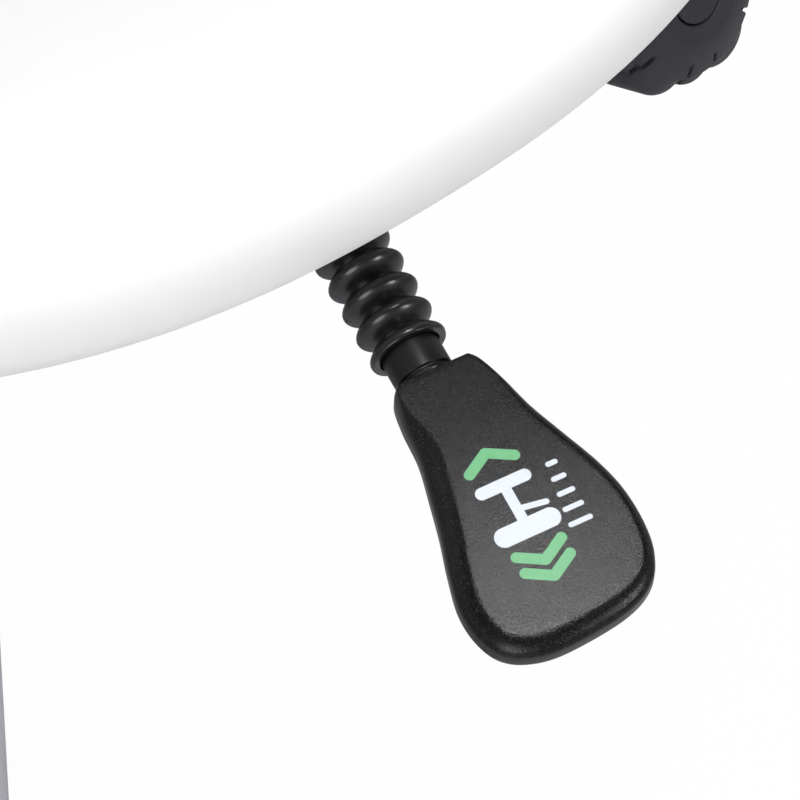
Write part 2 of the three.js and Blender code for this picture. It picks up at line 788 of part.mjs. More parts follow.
function seatBoard() {
  const low = seatUnderside + coverThickness + gap
  const high = low + boardThickness
  const body = ringSkin([seatRing(boardInset, low), seatRing(boardInset, high - boardEdge),
    seatRing(boardInset + boardEdge, high)], [0, 0, low], [0, 0, high])
  const tools = []
  for (const x of [boltPlace, -boltPlace]) {
    for (const y of [boltPlace, -boltPlace]) {
      tools.push(rod(nutRadius + gap, low - cutOver, high + cutOver, screwSteps).translate(x, y, 0))
      tools.push(rod(nutFlangeRadius + gap, high - nutFlangeHeight - gap, high + cutOver, screwSteps)
        .translate(x, y, 0))
    }
  }
  return cut(body, tools)
}

// The drooping outer part of the lever has its own frame: X out along it, Z up, origin at the neck.
function leverFrame() {
  const out = new THREE.Vector3(Math.cos(leverYaw) * Math.cos(leverDroop), Math.sin(leverYaw) * Math.cos(leverDroop),
    -Math.sin(leverDroop))
  const side = new THREE.Vector3(-Math.sin(leverYaw), Math.cos(leverYaw), 0)
  const up = new THREE.Vector3().crossVectors(out, side)
  const neck = new THREE.Vector3(leverBendX, 0, leverHeight).addScaledVector(out, leverBendToNeck)
  return new THREE.Matrix4().makeBasis(out, side, up).setPosition(neck)
}

function leverRod() {
  const frame = leverFrame()
  const start = new THREE.Vector3(leverStart, 0, leverHeight)
  const bend = new THREE.Vector3(leverBendX, 0, leverHeight)
  const end = new THREE.Vector3(paddleSocketDepth - gap, 0, 0).applyMatrix4(frame)
  const inward = bend.clone().sub(start).normalize()
  const outward = end.clone().sub(bend).normalize()
  const before = bend.clone().addScaledVector(inward, -leverBendRadius)
  const after = bend.clone().addScaledVector(outward, leverBendRadius)
  const places = [start, ...new THREE.QuadraticBezierCurve3(before, bend, after).getPoints(leverBendSteps), end]
  const side = new THREE.Vector3(0, 1, 0)
  const rings = places.map((place, i) => {
    const back = places[Math.max(i - 1, 0)]
    const ahead = places[Math.min(i + 1, places.length - 1)]
    const along = ahead.clone().sub(back).normalize()
    const across = side.clone().addScaledVector(along, -side.dot(along)).normalize()
    const over = new THREE.Vector3().crossVectors(along, across)
    const ring = []
    for (let j = 0; j < smallSteps; j += 1) {
      const angle = (turn * j) / smallSteps
      const point = place.clone().addScaledVector(across, leverRadius * Math.cos(angle))
      ring.push(point.addScaledVector(over, leverRadius * Math.sin(angle)).toArray())
    }
    return ring
  })
  const body = ringSkin(rings, start.toArray(), end.toArray())
  const bore = alongY(rod(pivotPinRadius + runGap, -slotWidth, slotWidth, smallSteps))
  return cut(body, [bore.translate(leverPivotX, 0, leverHeight)])
}

function leverPivotPin() {
  const reach = earPlace + earThickness + pivotPinOver
  return alongY(rod(pivotPinRadius, -reach, reach, smallSteps)).translate(leverPivotX, 0, leverHeight)
}

// Ribbed boot: round ribs at one pitch round a plain bore, with a wide open rim at the outer end.
function leverBellows() {
  const outer = []
  const start = -lastRibBack - (ribCount - 0.5) * ribPitch
  const last = ribCount * ribSteps - 1
  for (let i = 0; i <= last; i += 1) {
    const share = i / ribSteps
    const wave = Math.abs(Math.sin(Math.PI * share)) ** ribRoundPower
    outer.push([ribValley + (ribRadius - ribValley) * wave, start + share * ribPitch])
  }
  const rim = outer[last][1]
  const mouth = -collarBack - 2 * gap
  const inner = [[collarRadius + gap, rim], [collarRadius + gap, mouth], [ribBore, mouth], [ribBore, start]]
  const boot = turned([...outer, ...inner, outer[0]], fineSteps)
  return alongX(boot).applyMatrix4(leverFrame())
}

function leverCollar() {
  const low = -collarBack
  const body = turned([[collarBore, low], [collarRadius - collarEdge, low], [collarRadius, low + collarEdge],
    [collarRadius, -neckRingLength], [neckRingRadius, -neckRingLength], [neckRingRadius, -gap],
    [collarBore, -gap], [collarBore, low]], fineSteps)
  return alongX(body).applyMatrix4(leverFrame())
}

// Paddle outline in its own plane, pulled in by an inset along its normals.
function paddleOutline(inset) {
  const place = (shares, side) => (along, i) => {
    return new THREE.Vector2(paddleLength * along, side * paddleHalfWidth * shares[i])
  }
  const front = paddleAlongShares.map(place(paddleFrontShares, 1))
  const back = paddleAlongShares.map(place(paddleBackShares, -1)).reverse()
  const tip = new THREE.Vector2(paddleLength, paddleHalfWidth * paddleTipShare)
  const corners = [...front, tip, ...back]
  return corners.map((point, i) => {
    const before = corners[(i + corners.length - 1) % corners.length]
    const ahead = corners[(i + 1) % corners.length]
    const along = ahead.clone().sub(before).normalize()
    const normal = new THREE.Vector2(-along.y, along.x)
    return point.clone().addScaledVector(normal, -inset)
  })
}

// The paddle is pressed on turned a little about the lever, so its back edge hangs lower.
function paddleFrame() {
  return leverFrame().multiply(new THREE.Matrix4().makeRotationX(leverTwist))
}

function leverPaddle() {
  const layers = []
  for (const side of [-1, 1]) {
    const shares = side < 0 ? paddleLayerShares.slice().reverse() : paddleLayerShares
    for (const share of shares) {
      const inset = paddleRoundWidth * (1 - Math.sqrt(1 - share * share))
      const height = side * paddleHalfThickness * (paddleRimShare + (1 - paddleRimShare) * share)
      layers.push(paddleOutline(inset).map((point) => [point.x, point.y, height]))
    }
  }
  const middle = paddleLength * paddleMiddleShare
  const crown = paddleHalfThickness + paddleCrown
  const body = ringSkin(layers.map((layer) => layer.reverse()), [middle, 0, -crown], [middle, 0, crown])
  const boss = alongX(turned([[0, 0], [bossRadius, 0], [bossTipRadius, bossLength], [0, bossLength]], fineSteps))
  const socket = alongX(rod(leverRadius + gap, -cutOver, paddleSocketDepth, smallSteps))
  return cut(fuse([body, boss]), [socket]).applyMatrix4(paddleFrame())
}

// The knob's own frame: Z out through its face, X as level as it can be.
function knobFrame() {
  const out = new THREE.Vector3(Math.cos(knobYaw) * Math.cos(knobRise), Math.sin(knobYaw) * Math.cos(knobRise),
    Math.sin(knobRise))
  const level = new THREE.Vector3(-Math.sin(knobYaw), Math.cos(knobYaw), 0)
  const over = new THREE.Vector3().crossVectors(out, level)
  return new THREE.Matrix4().makeBasis(level, over, out)
    .setPosition(knobX, knobY, seatUnderside - knobDrop)
}

// Saw-like lobes: each swells slowly and falls back over one short step.
function lobedRing(radius, height, depth) {
  const ring = []
  const count = knobLobes * knobStepsPerLobe
  for (let i = 0; i < count; i += 1) {
    const share = (i % knobStepsPerLobe) / knobStepsPerLobe
    const swell = Math.sin(Math.PI * Math.min(1, lobeFallShare + share)) ** lobeRoundPower
    const reach = radius - depth + depth * swell
    const angle = knobPhase + (turn * i) / count
    ring.push([reach * Math.cos(angle), reach * Math.sin(angle), height])
  }
  return ring
}

// Deep lobed wall under a domed face.
function knobBody() {
  const half = knobDepth / 2
  const rim = half - knobDome
  const rings = [lobedRing(knobRadius - knobBackEdge, -half, knobLobeDepth),
    lobedRing(knobRadius, knobBackEdge - half, knobLobeDepth), lobedRing(knobRadius, rim - knobRound, knobLobeDepth),
    lobedRing(knobRadius - knobRound, rim, knobLobeDepth)]
  domeRadiusShares.forEach((share, i) => {
    rings.push(lobedRing(knobRadius * share, rim + knobDome * domeRiseShares[i], 0))
  })
  const body = ringSkin(rings, [0, 0, -half], [0, 0, half])
  const capWell = rod(knobCapRadius + gap, half - knobCapDepth - gap, half + cutOver, fineSteps)
  const studWell = rod(studRadius + pressGap, -half - cutOver, studTop() + gap, pinSteps)
  return cut(body, [capWell, studWell]).applyMatrix4(knobFrame())
}

function knobCap() {
  const half = knobDepth / 2
  const cap = turned([[0, half - knobCapDepth], [knobCapRadius, half - knobCapDepth], [knobCapRadius, half],
    [knobCapRadius - edge, half + knobCapProud], [0, half + knobCapProud]], hiddenSteps)
  return cap.applyMatrix4(knobFrame())
}

function studTop() {
  return knobDepth / 2 - knobCapDepth - 3 * gap - studCover
}

function tensionStud() {
  return rod(studRadius, studTop() - studLength, studTop(), pinSteps).applyMatrix4(knobFrame())
}

// Housing of the tension spring: a bored barrel, a post up to the arm and its foot.
function tensionHousing() {
  const frame = knobFrame()
  const barrel = rod(housingRadius, -housingBack, -housingFront, hiddenSteps).applyMatrix4(frame)
  const middle = new THREE.Vector3(0, 0, -postBack).applyMatrix4(frame)
  const footTop = armTop - armThickness - gap
  const post = box(middle.x - postHalfX, middle.x + postHalfX, middle.y - postHalfY, middle.y + postHalfY,
    middle.z, footTop - footHeight / 2)
  const foot = box(middle.x - footHalf, middle.x + footHalf, middle.y - postHalfY, middle.y + postHalfY,
    footTop - footHeight, footTop)
  const joined = fuse([barrel, post, foot])
  const tools = [
    rod(housingBore, housingSeat - housingBack, -housingFront - housingLid, hiddenSteps).applyMatrix4(frame),
    rod(studRadius + runGap, -housingBack - cutOver, cutOver - housingFront, pinSteps).applyMatrix4(frame)
  ]
  for (const side of [-1, 1]) {
    tools.push(rod(armScrewRadius + gap, footTop - 2 * footHeight, footTop + cutOver, screwSteps)
      .translate(middle.x + side * armScrewPlace, middle.y, 0))
  }
  return { housing: cut(joined, tools), middle, footTop }
}

function tensionArm(middle) {
  const low = armTop - armThickness
  const start = new THREE.Vector2(boltPlace, boltPlace)
  const end = new THREE.Vector2(middle.x, middle.y)
  const along = end.clone().sub(start)
  const length = along.length() + armOuterOver
  const heading = Math.atan2(along.y, along.x)
  const bar = box(-armHalfWidth, length, -armHalfWidth, armHalfWidth, low, armTop)
  bar.rotateZ(heading)
  bar.translate(start.x, start.y, 0)
  const tools = [rod(boltRadius + gap, low - cutOver, armTop + cutOver, smallSteps)
    .translate(boltPlace, boltPlace, 0)]
  for (const side of [-1, 1]) {
    tools.push(rod(armScrewRadius + gap, low - cutOver, armTop + cutOver, screwSteps)
      .translate(middle.x + side * armScrewPlace, middle.y, 0))
  }
  return cut(bar, tools)
}

function addArmScrews(middle, footTop) {
  let number = 1
  for (const side of [-1, 1]) {
    const head = footTop - footHeight - gap
    const screw = socketHeadScrew(armScrewHeadRadius, armScrewHeadHeight, armScrewRadius,
      footHeight + armThickness)
    screw.rotateX(Math.PI)
    screw.translate(middle.x + side * armScrewPlace, middle.y, head)
    add(`arm_screw_${number}`, screw, materials.zinc)
    number += 1
  }
}

function followerNut() {
  const high = -housingFront - housingLid - followerPlace
  return ringOf(studRadius + gap, followerRadius, high - followerHeight, high, hiddenSteps)
    .applyMatrix4(knobFrame())
}

function tensionSpring() {
  const low = housingSeat - housingBack + gap + springWire
  const high = -housingFront - housingLid - followerPlace - followerHeight - gap - springWire
  const count = springTurns * springStepsPerTurn
  const rings = []
  for (let i = 0; i <= count; i += 1) {
    const angle = (turn * i) / springStepsPerTurn
    const place = new THREE.Vector3(springRadius * Math.cos(angle), springRadius * Math.sin(angle),
      low + ((high - low) * i) / count)
    const outward = new THREE.Vector3(Math.cos(angle), Math.sin(angle), 0)
    const up = new THREE.Vector3(0, 0, 1)
    const ring = []
    for (let j = 0; j < wireSteps; j += 1) {
      const around = (turn * j) / wireSteps
      const point = place.clone().addScaledVector(outward, springWire * Math.cos(around))
      ring.push(point.addScaledVector(up, springWire * Math.sin(around)).toArray())
    }
    rings.push(ring.reverse())
  }
  const first = new THREE.Vector3(springRadius, 0, low)
  const last = new THREE.Vector3(springRadius, 0, high)
  return ringSkin(rings, first.toArray(), last.toArray()).applyMatrix4(knobFrame())
}

add('rocker_pad', rockerPad(), materials.rubber)
add('ballast_disc', ballastDisc(), materials.castIron)
add('base_shell', baseShell(), materials.silver)
add('tube_socket', tubeSocket(), materials.blackSteel)
addBaseScrews()
add('column_tube', columnTube(), materials.silver)
add('guide_bush', guideBush(), materials.blackPlastic)
const rodShoulder = bearingStack()
add('piston_rod', pistonRod(rodShoulder), materials.zinc)
add('retaining_clip', retainingClip(), materials.zinc)
add('gas_cylinder', gasCylinder(), materials.blackSteel)
add('valve_pin', valvePin(), materials.zinc)
add('column_hub', columnHub(), materials.blackSteel)
add('gimbal_ring', gimbalRing(), materials.zinc)
addJointPins()
addBuffers()
add('seat_pan', seatPan(), materials.blackSteel)
addSeatBolts()
add('seat_board', seatBoard(), materials.plywood)
add('seat_foam', seatFoam(), materials.foam)
add('seat_cover', seatCover(), materials.vinyl)
add('lever_rod', leverRod(), materials.zinc)
add('lever_pivot_pin', leverPivotPin(), materials.zinc)
add('lever_bellows', leverBellows(), materials.bootRubber)
add('lever_collar', leverCollar(), materials.collarPlastic)
add('lever_paddle', leverPaddle(), materials.paddlePlastic)
const tension = tensionHousing()
add('tension_housing', tension.housing, materials.blackPlastic)
add('tension_arm', tensionArm(tension.middle), materials.blackSteel)
addArmScrews(tension.middle, tension.footTop)
add('follower_nut', followerNut(), materials.zinc)
add('tension_spring', tensionSpring(), materials.zinc)
add('knob_body', knobBody(), materials.knobPlastic)
add('knob_cap', knobCap(), materials.knobPlastic)
add('tension_stud', tensionStud(), materials.zinc)

export default part
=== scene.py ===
"""Dresses the wobble stool's frame with fine surfaces and finishes, and sets a plain pale stage round it."""

import json
import math

import bmesh
import bpy
import numpy as np
from mathutils import Matrix, Vector


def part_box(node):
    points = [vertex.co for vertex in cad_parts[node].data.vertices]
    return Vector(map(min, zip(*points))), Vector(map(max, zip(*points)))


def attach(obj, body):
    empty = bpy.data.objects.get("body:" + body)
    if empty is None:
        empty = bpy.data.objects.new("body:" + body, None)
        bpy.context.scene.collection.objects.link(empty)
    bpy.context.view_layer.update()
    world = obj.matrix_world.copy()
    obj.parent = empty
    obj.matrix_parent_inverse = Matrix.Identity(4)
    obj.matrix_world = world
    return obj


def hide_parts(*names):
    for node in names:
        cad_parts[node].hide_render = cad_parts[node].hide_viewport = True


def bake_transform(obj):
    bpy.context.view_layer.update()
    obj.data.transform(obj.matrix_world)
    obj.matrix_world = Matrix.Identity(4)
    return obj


bl_info = {
    "name": "Wobble stool",
    "version": (1, 0, 0),
    "blender": (4, 5, 0),
    "location": "View3D > Sidebar > Stool",
    "description": "Fine surfaces and finishes for a height-adjustable wobble stool",
    "category": "Add Mesh",
}

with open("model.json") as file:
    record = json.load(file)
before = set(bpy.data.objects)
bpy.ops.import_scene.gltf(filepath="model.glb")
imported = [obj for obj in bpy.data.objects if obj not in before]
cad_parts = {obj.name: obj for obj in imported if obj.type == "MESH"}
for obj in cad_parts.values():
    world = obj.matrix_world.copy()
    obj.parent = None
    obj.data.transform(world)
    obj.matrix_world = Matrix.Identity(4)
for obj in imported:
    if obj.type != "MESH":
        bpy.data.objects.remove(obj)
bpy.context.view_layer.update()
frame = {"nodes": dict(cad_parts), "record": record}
MM = 0.001
COVER_LOW, COVER_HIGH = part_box("seat_cover")
BODY_OF = {
    node: body
    for body, nodes in frame["record"]["behaviour"]["bodies"].items()
    for node in nodes
}


# Property makers


def length(name, default, description):
    return bpy.props.FloatProperty(
        name=name, description=description, default=default, unit="LENGTH", precision=5
    )


def angle(name, default, description):
    return bpy.props.FloatProperty(
        name=name, description=description, default=math.radians(default), subtype="ANGLE"
    )


def number(name, default, description):
    return bpy.props.FloatProperty(name=name, description=description, default=default)


def count(name, default, description):
    return bpy.props.IntProperty(name=name, description=description, default=default, min=1)


def place(name, default, description):
    return bpy.props.FloatVectorProperty(
        name=name, description=description, default=default, subtype="TRANSLATION", size=3, precision=5
    )


def tint(name, default, description):
    return bpy.props.FloatVectorProperty(
        name=name, description=description, default=default, subtype="COLOR", size=3, min=0, max=1
    )


class CushionSizes(bpy.types.PropertyGroup):
    half_x: length("Half width", COVER_HIGH.x + 0.6 * MM, "From the middle to the widest point at the sitter's side")
    half_y: length("Half depth", COVER_HIGH.y + 0.6 * MM, "From the middle to the front edge")
    squareness: number("Squareness", 2.36, "Power of the rounded-square plan, 2 is an ellipse")
    underside: length("Underside", COVER_LOW.z, "Height of the flat underside")
    lower_round: length("Lower round", 45 * MM, "Radius from the underside to the widest line")
    upper_wide: length("Upper round width", 72 * MM, "How far in the upper round reaches")
    upper_high: length("Upper round height", 30 * MM, "How high the upper round rises")
    crown: length("Crown", 12 * MM, "Rise of the middle above the upper round")
    opening_inset: length("Opening inset", 75 * MM, "From the widest line to the opening round the carrier")
    opening_depth: length("Opening depth", 14.6 * MM, "Depth of the opening that holds the board")
    slack: length("Slack", 0.2 * MM, "How much smaller the cover is before it is stuffed")
    swell: length("Swell", 3 * MM, "The furthest that the stuffing may push the cover")
    pressure: number("Pressure", 0.4, "Pressure of the stuffing in the cloth simulation")
    voxel: length("Voxel", 6 * MM, "Mesh size of the stuffed form")
    steps: count("Simulation steps", 20, "Frames that the cover is stuffed for")


class LeverSizes(bpy.types.PropertyGroup):
    bend: place("Bend", (181.4 * MM, 0, 626.2 * MM), "Where the lever bends down under the seat's edge")
    yaw: angle("Yaw", -13.1, "Turn of the outer lever towards the sitter's back")
    droop: angle("Droop", 18, "Fall of the outer lever")
    twist: angle("Twist", 8, "Turn of the paddle about the lever")
    bend_to_neck: length("Bend to neck", 47.8 * MM, "From the bend to the paddle's neck")
    ribs: count("Ribs", 5, "Ribs of the boot")
    pitch: length("Rib pitch", 7.2 * MM, "From one rib to the next")
    rib_radius: length("Rib radius", 9.9 * MM, "Radius over the ribs")
    valley_radius: length("Valley radius", 6.6 * MM, "Radius between two ribs")
    boot_back: length("Boot back", 9.6 * MM, "From the neck back to the last rib's middle")
    boot_bore: length("Boot bore", 5.2 * MM, "Radius of the hole through the boot")
    rim_radius: length("Rim radius", 7.75 * MM, "Inner radius of the open rim")
    rim_depth: length("Rim depth", 4 * MM, "How deep the open rim is seen")
    collar_radius: length("Collar radius", 7.45 * MM, "Radius of the collar tube")
    collar_back: length("Collar back", 10.6 * MM, "From the neck back to the collar's hidden end")
    collar_bore: length("Collar bore", 4.8 * MM, "Radius of the hole through the collar")
    boss_radius: length("Boss radius", 7.1 * MM, "Radius of the paddle's smooth boss at the neck")
    boss_tip: length("Boss tip radius", 5.2 * MM, "Radius to which the boss falls")
    boss_long: length("Boss length", 2.4 * MM, "Length of the boss")
    paddle_length: length("Paddle length", 76.4 * MM, "From the neck to the tip")
    paddle_half: length("Paddle half width", 27.7 * MM, "Half of the widest place")
    paddle_thick: length("Paddle half thickness", 5.2 * MM, "Half of the thickness")
    paddle_round: length("Paddle edge", 5.4 * MM, "How far in the rounded edge reaches")
    front_round: length("Paddle front edge", 3 * MM, "How far in the edge on the sitter's front side reaches")
    paddle_crown: length("Paddle crown", 0.5 * MM, "Rise of the top face's middle over its sides")
    paddle_bow: length("Paddle bow", 2.2 * MM, "Fall of the top face from its highest place to the tip")
    neck_edge: length("Neck edge", 0.7 * MM, "How far in the rounded edge reaches at the neck")


class KnobSizes(bpy.types.PropertyGroup):
    middle: place("Middle", (154.7 * MM, 135.4 * MM, 606.7 * MM), "Middle of the knob")
    yaw: angle("Yaw", 1.5, "Turn of the knob's axis")
    rise: angle("Rise", 19.8, "Rise of the knob's axis")
    radius: length("Radius", 27.6 * MM, "Radius over the lobes")
    depth: length("Depth", 24 * MM, "From the back to the face")
    dome: length("Dome", 6.3 * MM, "Rise of the face above the rim")
    lobe_depth: length("Lobe depth", 2.8 * MM, "Fall from a lobe's crest to its notch")
    lobe_gap: length("Lobe gap", 2 * MM, "Flat stretch before the next notch")
    phase: angle("Phase", 254.5, "Place of the first notch round the axis")
    groove: length("Groove depth", 2.2 * MM, "Depth of the short grooves in the face")
    groove_wide: length("Groove width", 0.5 * MM, "Half width of the short grooves")
    groove_start: length("Groove start", 18.4 * MM, "Radius at which the grooves start")
    cap_radius: length("Cap radius", 7.4 * MM, "Radius of the cap")


class ColumnSizes(bpy.types.PropertyGroup):
    rocker_radius: length("Base radius", 186 * MM, "Outer radius of the base")
    flat_radius: length("Flat radius", 70 * MM, "Radius of the base's flat middle")
    rocker_rise: length("Rocker rise", 16 * MM, "How far the base curves up at its edge")
    pad_thick: length("Pad thickness", 8 * MM, "Thickness of the rubber pad")
    lip_height: length("Lip height", 40 * MM, "Top of the rubber lip")
    lip_wide: length("Lip width", 5 * MM, "Width of the rubber lip, and how deep the cover sits in it")
    flare: length("Flare", 54 * MM, "Rise of the base cover before it gathers at the neck")
    neck_radius: length("Neck radius", 36 * MM, "Radius of the base cover's neck")
    neck_height: length("Neck height", 122 * MM, "Height of the base cover's neck")
    tube_radius: length("Tube radius", 25 * MM, "Outer radius of the column tube")
    tube_low: length("Tube bottom", 38 * MM, "Lower end of the column tube")
    tube_top: length("Tube top", 402 * MM, "Top of the column tube")
    bush_long: length("Bush length", 78 * MM, "How deep the guide bush goes into the tube")
    cylinder_radius: length("Cylinder radius", 14 * MM, "Radius of the gas cylinder")
    cylinder_low: length("Cylinder bottom", 205 * MM, "Lower end of the gas cylinder")
    cylinder_top: length("Cylinder top", 608 * MM, "Upper end of the gas cylinder")


class FinishColours(bpy.types.PropertyGroup):
    cover: tint("Cover", (0.86, 0.855, 0.85), "White synthetic leather")
    boot: tint("Boot", (0.006, 0.006, 0.007), "Glossy rubber of the boot")
    collar: tint("Collar", (0.004, 0.004, 0.0045), "Satin plastic of the collar")
    paddle: tint("Paddle", (0.004, 0.004, 0.0045), "Grained plastic of the paddle")
    print_white: tint("Print white", (0.69, 0.735, 0.8), "White of the printed mark")
    print_green: tint("Print green", (0.155, 0.46, 0.215), "Green of the printed mark")
    knob: tint("Knob", (0.029, 0.029, 0.037), "Dark grey plastic of the knob")
    silver: tint("Silver", (0.58, 0.59, 0.65), "Silver paint of the base and tube")
    zinc: tint("Zinc", (0.55, 0.56, 0.57), "Plated fasteners")
    black_steel: tint("Black steel", (0.022, 0.022, 0.024), "Powder-coated carrier")
    base_rubber: tint("Base rubber", (0.03, 0.03, 0.033), "Rubber of the base and the buffers")


class StageSettings(bpy.types.PropertyGroup):
    camera: place("Camera", (1.047187, -0.764869, 1.663458), "Place of the camera")
    azimuth: angle("Azimuth", 47.755, "Heading of the camera round the stool")
    elevation: angle("Elevation", 43.493, "Height of the camera above the horizon")
    roll: angle("Roll", 0.266, "Roll of the camera")
    focal: number("Focal length", 293.31, "Focal length for a 36 mm sensor, in millimetres")
    sky: number("Sky", 0.63, "Strength of the even light at the horizon")
    zenith: number("Zenith", 0.06, "Strength of the even light overhead")
    key_light: number("Key light", 11.0, "Power of the lamp to the camera's right")
    soft_light: number("Soft light", 10.8, "Power of the soft box above the lever")
    broad_light: number("Broad light", 3.0, "Power of the broad lamp behind the stool")
    front_light: number("Front light", 23.0, "Power of the broad lamp below the camera")
    floor: tint("Floor", (0.82, 0.82, 0.82), "Pale floor")


SETTINGS = {
    "stool_cushion": CushionSizes,
    "stool_lever": LeverSizes,
    "stool_knob": KnobSizes,
    "stool_column": ColumnSizes,
    "stool_colours": FinishColours,
    "stool_stage": StageSettings,
}


# Surfaces


def axes(out, level, over, origin):
    """4x4 array that takes x, y and z of a piece's own space along level, over and out from origin."""
    matrix = np.eye(4)
    matrix[:3, 0], matrix[:3, 1], matrix[:3, 2], matrix[:3, 3] = level, over, out, origin
    return matrix


UPRIGHT = axes((0, 0, 1), (1, 0, 0), (0, 1, 0), (0, 0, 0))


def heading(yaw, rise):
    """Unit vector at yaw round from +X and rise above the floor, and the level vector to its left."""
    out = np.array([math.cos(yaw) * math.cos(rise), math.sin(yaw) * math.cos(rise), math.sin(rise)])
    return out, np.array([-math.sin(yaw), math.cos(yaw), 0.0])


def lever_axes(sizes, twist=0.0):
    """Space of the outer lever: x to its left, y up, z out along it, origin at the paddle's neck."""
    out, level = heading(sizes.yaw, -sizes.droop)
    over = np.cross(out, level)
    turned_level = math.cos(twist) * level + math.sin(twist) * over
    neck = np.array(sizes.bend) + out * sizes.bend_to_neck
    return axes(out, turned_level, np.cross(out, turned_level), neck)


def put(points, space):
    """Points of a piece's own space as points of the stool."""
    return points @ space[:3, :3].T + space[:3, 3]


def surface(name, rings, body, slot, start=None, end=None, closed=False, smooth=40.0):
    """Mesh through rings of points: rings[i, j] joins rings[i + 1, j] and rings[i, j + 1] by quads, each
    ring closes on itself, and start and end are the pole points. Rings run anticlockwise round the way
    that they follow each other, so the faces point outwards."""
    rings = np.asarray(rings, float)
    rows, steps = rings.shape[:2]
    spans = rows if closed else rows - 1
    low = np.arange(spans)[:, None] * steps
    high = (low + steps) % (rows * steps)
    here = np.arange(steps)[None, :]
    ahead = (here + 1) % steps
    corners = np.stack([low + here, low + ahead, high + ahead, high + here], -1).reshape(-1, 4)
    points = [rings.reshape(-1, 3)]
    loops, starts = [corners.ravel()], [np.arange(len(corners)) * 4]
    share = np.arange(rows + 1) / max(spans, 1)
    across = np.stack([here[0], here[0] + 1, here[0] + 1, here[0]], -1) / steps
    along = np.stack([share[:spans], share[:spans], share[1:spans + 1], share[1:spans + 1]], -1)
    uv = np.stack(np.broadcast_arrays(across[None], along[:, None]), -1)
    uvs = [uv.reshape(-1, 2)]
    total = rows * steps
    for pole, base, flip in ((start, 0, True), (end, (rows - 1) * steps, False)):
        if pole is None:
            continue
        points.append(np.asarray(pole, float).reshape(1, 3))
        one, two = (ahead[0], here[0]) if flip else (here[0], ahead[0])
        fan = np.stack([np.full(steps, total), base + one, base + two], -1)
        starts.append(sum(len(part) for part in loops) + np.arange(steps) * 3)
        loops.append(fan.ravel())
        side = 0.0 if flip else 1.0
        edge = np.stack([here[0] + 0.5, here[0] + float(flip), here[0] + float(not flip)], -1) / steps
        uvs.append(np.stack([edge, np.full_like(edge, side)], -1).reshape(-1, 2))
        total += 1
    return finish_mesh(name, np.vstack(points), np.concatenate(loops), np.concatenate(starts),
                       np.vstack(uvs), body, slot, smooth)


def linked(name, data):
    """New object of the scene that shows the given data."""
    thing = bpy.data.objects.new(name, data)
    bpy.context.scene.collection.objects.link(thing)
    return thing


def finish_mesh(name, points, loops, starts, uvs, body, slot, smooth):
    """Piece of the given faces, with its map, its sharp edges and its finish, on its body."""
    mesh = bpy.data.meshes.new(name)
    mesh.vertices.add(len(points))
    mesh.vertices.foreach_set("co", points.ravel())
    mesh.loops.add(len(loops))
    mesh.loops.foreach_set("vertex_index", loops.astype(np.int32))
    mesh.polygons.add(len(starts))
    mesh.polygons.foreach_set("loop_start", starts.astype(np.int32))
    mesh.update(calc_edges=True)
    layer = mesh.uv_layers.new(name="surface")
    layer.data.foreach_set("uv", uvs.ravel())
    mesh.validate()
    mesh.polygons.foreach_set("use_smooth", np.ones(len(mesh.polygons), bool))
    mesh.set_sharp_from_angle(angle=math.radians(smooth))
    piece = linked(name, mesh)
    if body:
        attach(piece, body)
        dress(piece, slot)
    return piece


def rounded(profile, radius, steps=5):
    """A polyline whose corners are rounded: each inner corner becomes a quadratic arc that leaves both
    sides radius away from the corner, or at half of a shorter side."""
    profile = np.asarray(profile, float)
    soft = [profile[:1]]
    share = np.linspace(0, 1, steps + 1)[:, None]
    for back, corner, ahead in zip(profile[:-2], profile[1:-1], profile[2:]):
        before, after = back - corner, ahead - corner
        near, far = np.linalg.norm(before), np.linalg.norm(after)
        first = corner + before * min(radius / near, 0.5)
        last = corner + after * min(radius / far, 0.5)
        soft.append((1 - share) ** 2 * first + 2 * share * (1 - share) * corner + share ** 2 * last)
    soft.append(profile[-1:])
    return np.vstack(soft)


def lathe(name, profile, space, body, slot, around=96, smooth=40.0):
    """Surface of revolution: a point of the profile at radius r and height h becomes the ring
    (r cos a, r sin a, h). A profile that starts or ends on the axis gets a pole there, and one that
    ends where it starts closes on itself."""
    profile = np.asarray(profile, float)
    closed = bool(np.allclose(profile[0], profile[-1]))
    rows = profile[:-1] if closed else profile
    poles = [None, None]
    if not closed and rows[0, 0] == 0:
        poles[0], rows = rows[0], rows[1:]
    if not closed and rows[-1, 0] == 0:
        poles[1], rows = rows[-1], rows[:-1]
    turn = np.linspace(0, 2 * math.pi, around, endpoint=False)
    radius, height = rows[:, :1], rows[:, 1:]
    rings = np.stack([radius * np.cos(turn), radius * np.sin(turn), height + 0 * turn], -1)
    ends = [None if pole is None else put(np.array([0, 0, pole[1]]), space) for pole in poles]
    return surface(name, put(rings, space), body, slot, ends[0], ends[1], closed, smooth)


def plan_ring(half_x, half_y, squareness, steps):
    """Rounded-square plan: at heading a the reach is (|cos a|^n + |sin a|^n)^(-1/n), times the half
    sizes."""
    turn = np.linspace(0, 2 * math.pi, steps, endpoint=False)
    c, s = np.cos(turn), np.sin(turn)
    reach = (np.abs(c) ** squareness + np.abs(s) ** squareness) ** (-1 / squareness)
    return np.stack([half_x * reach * c, half_y * reach * s], -1)


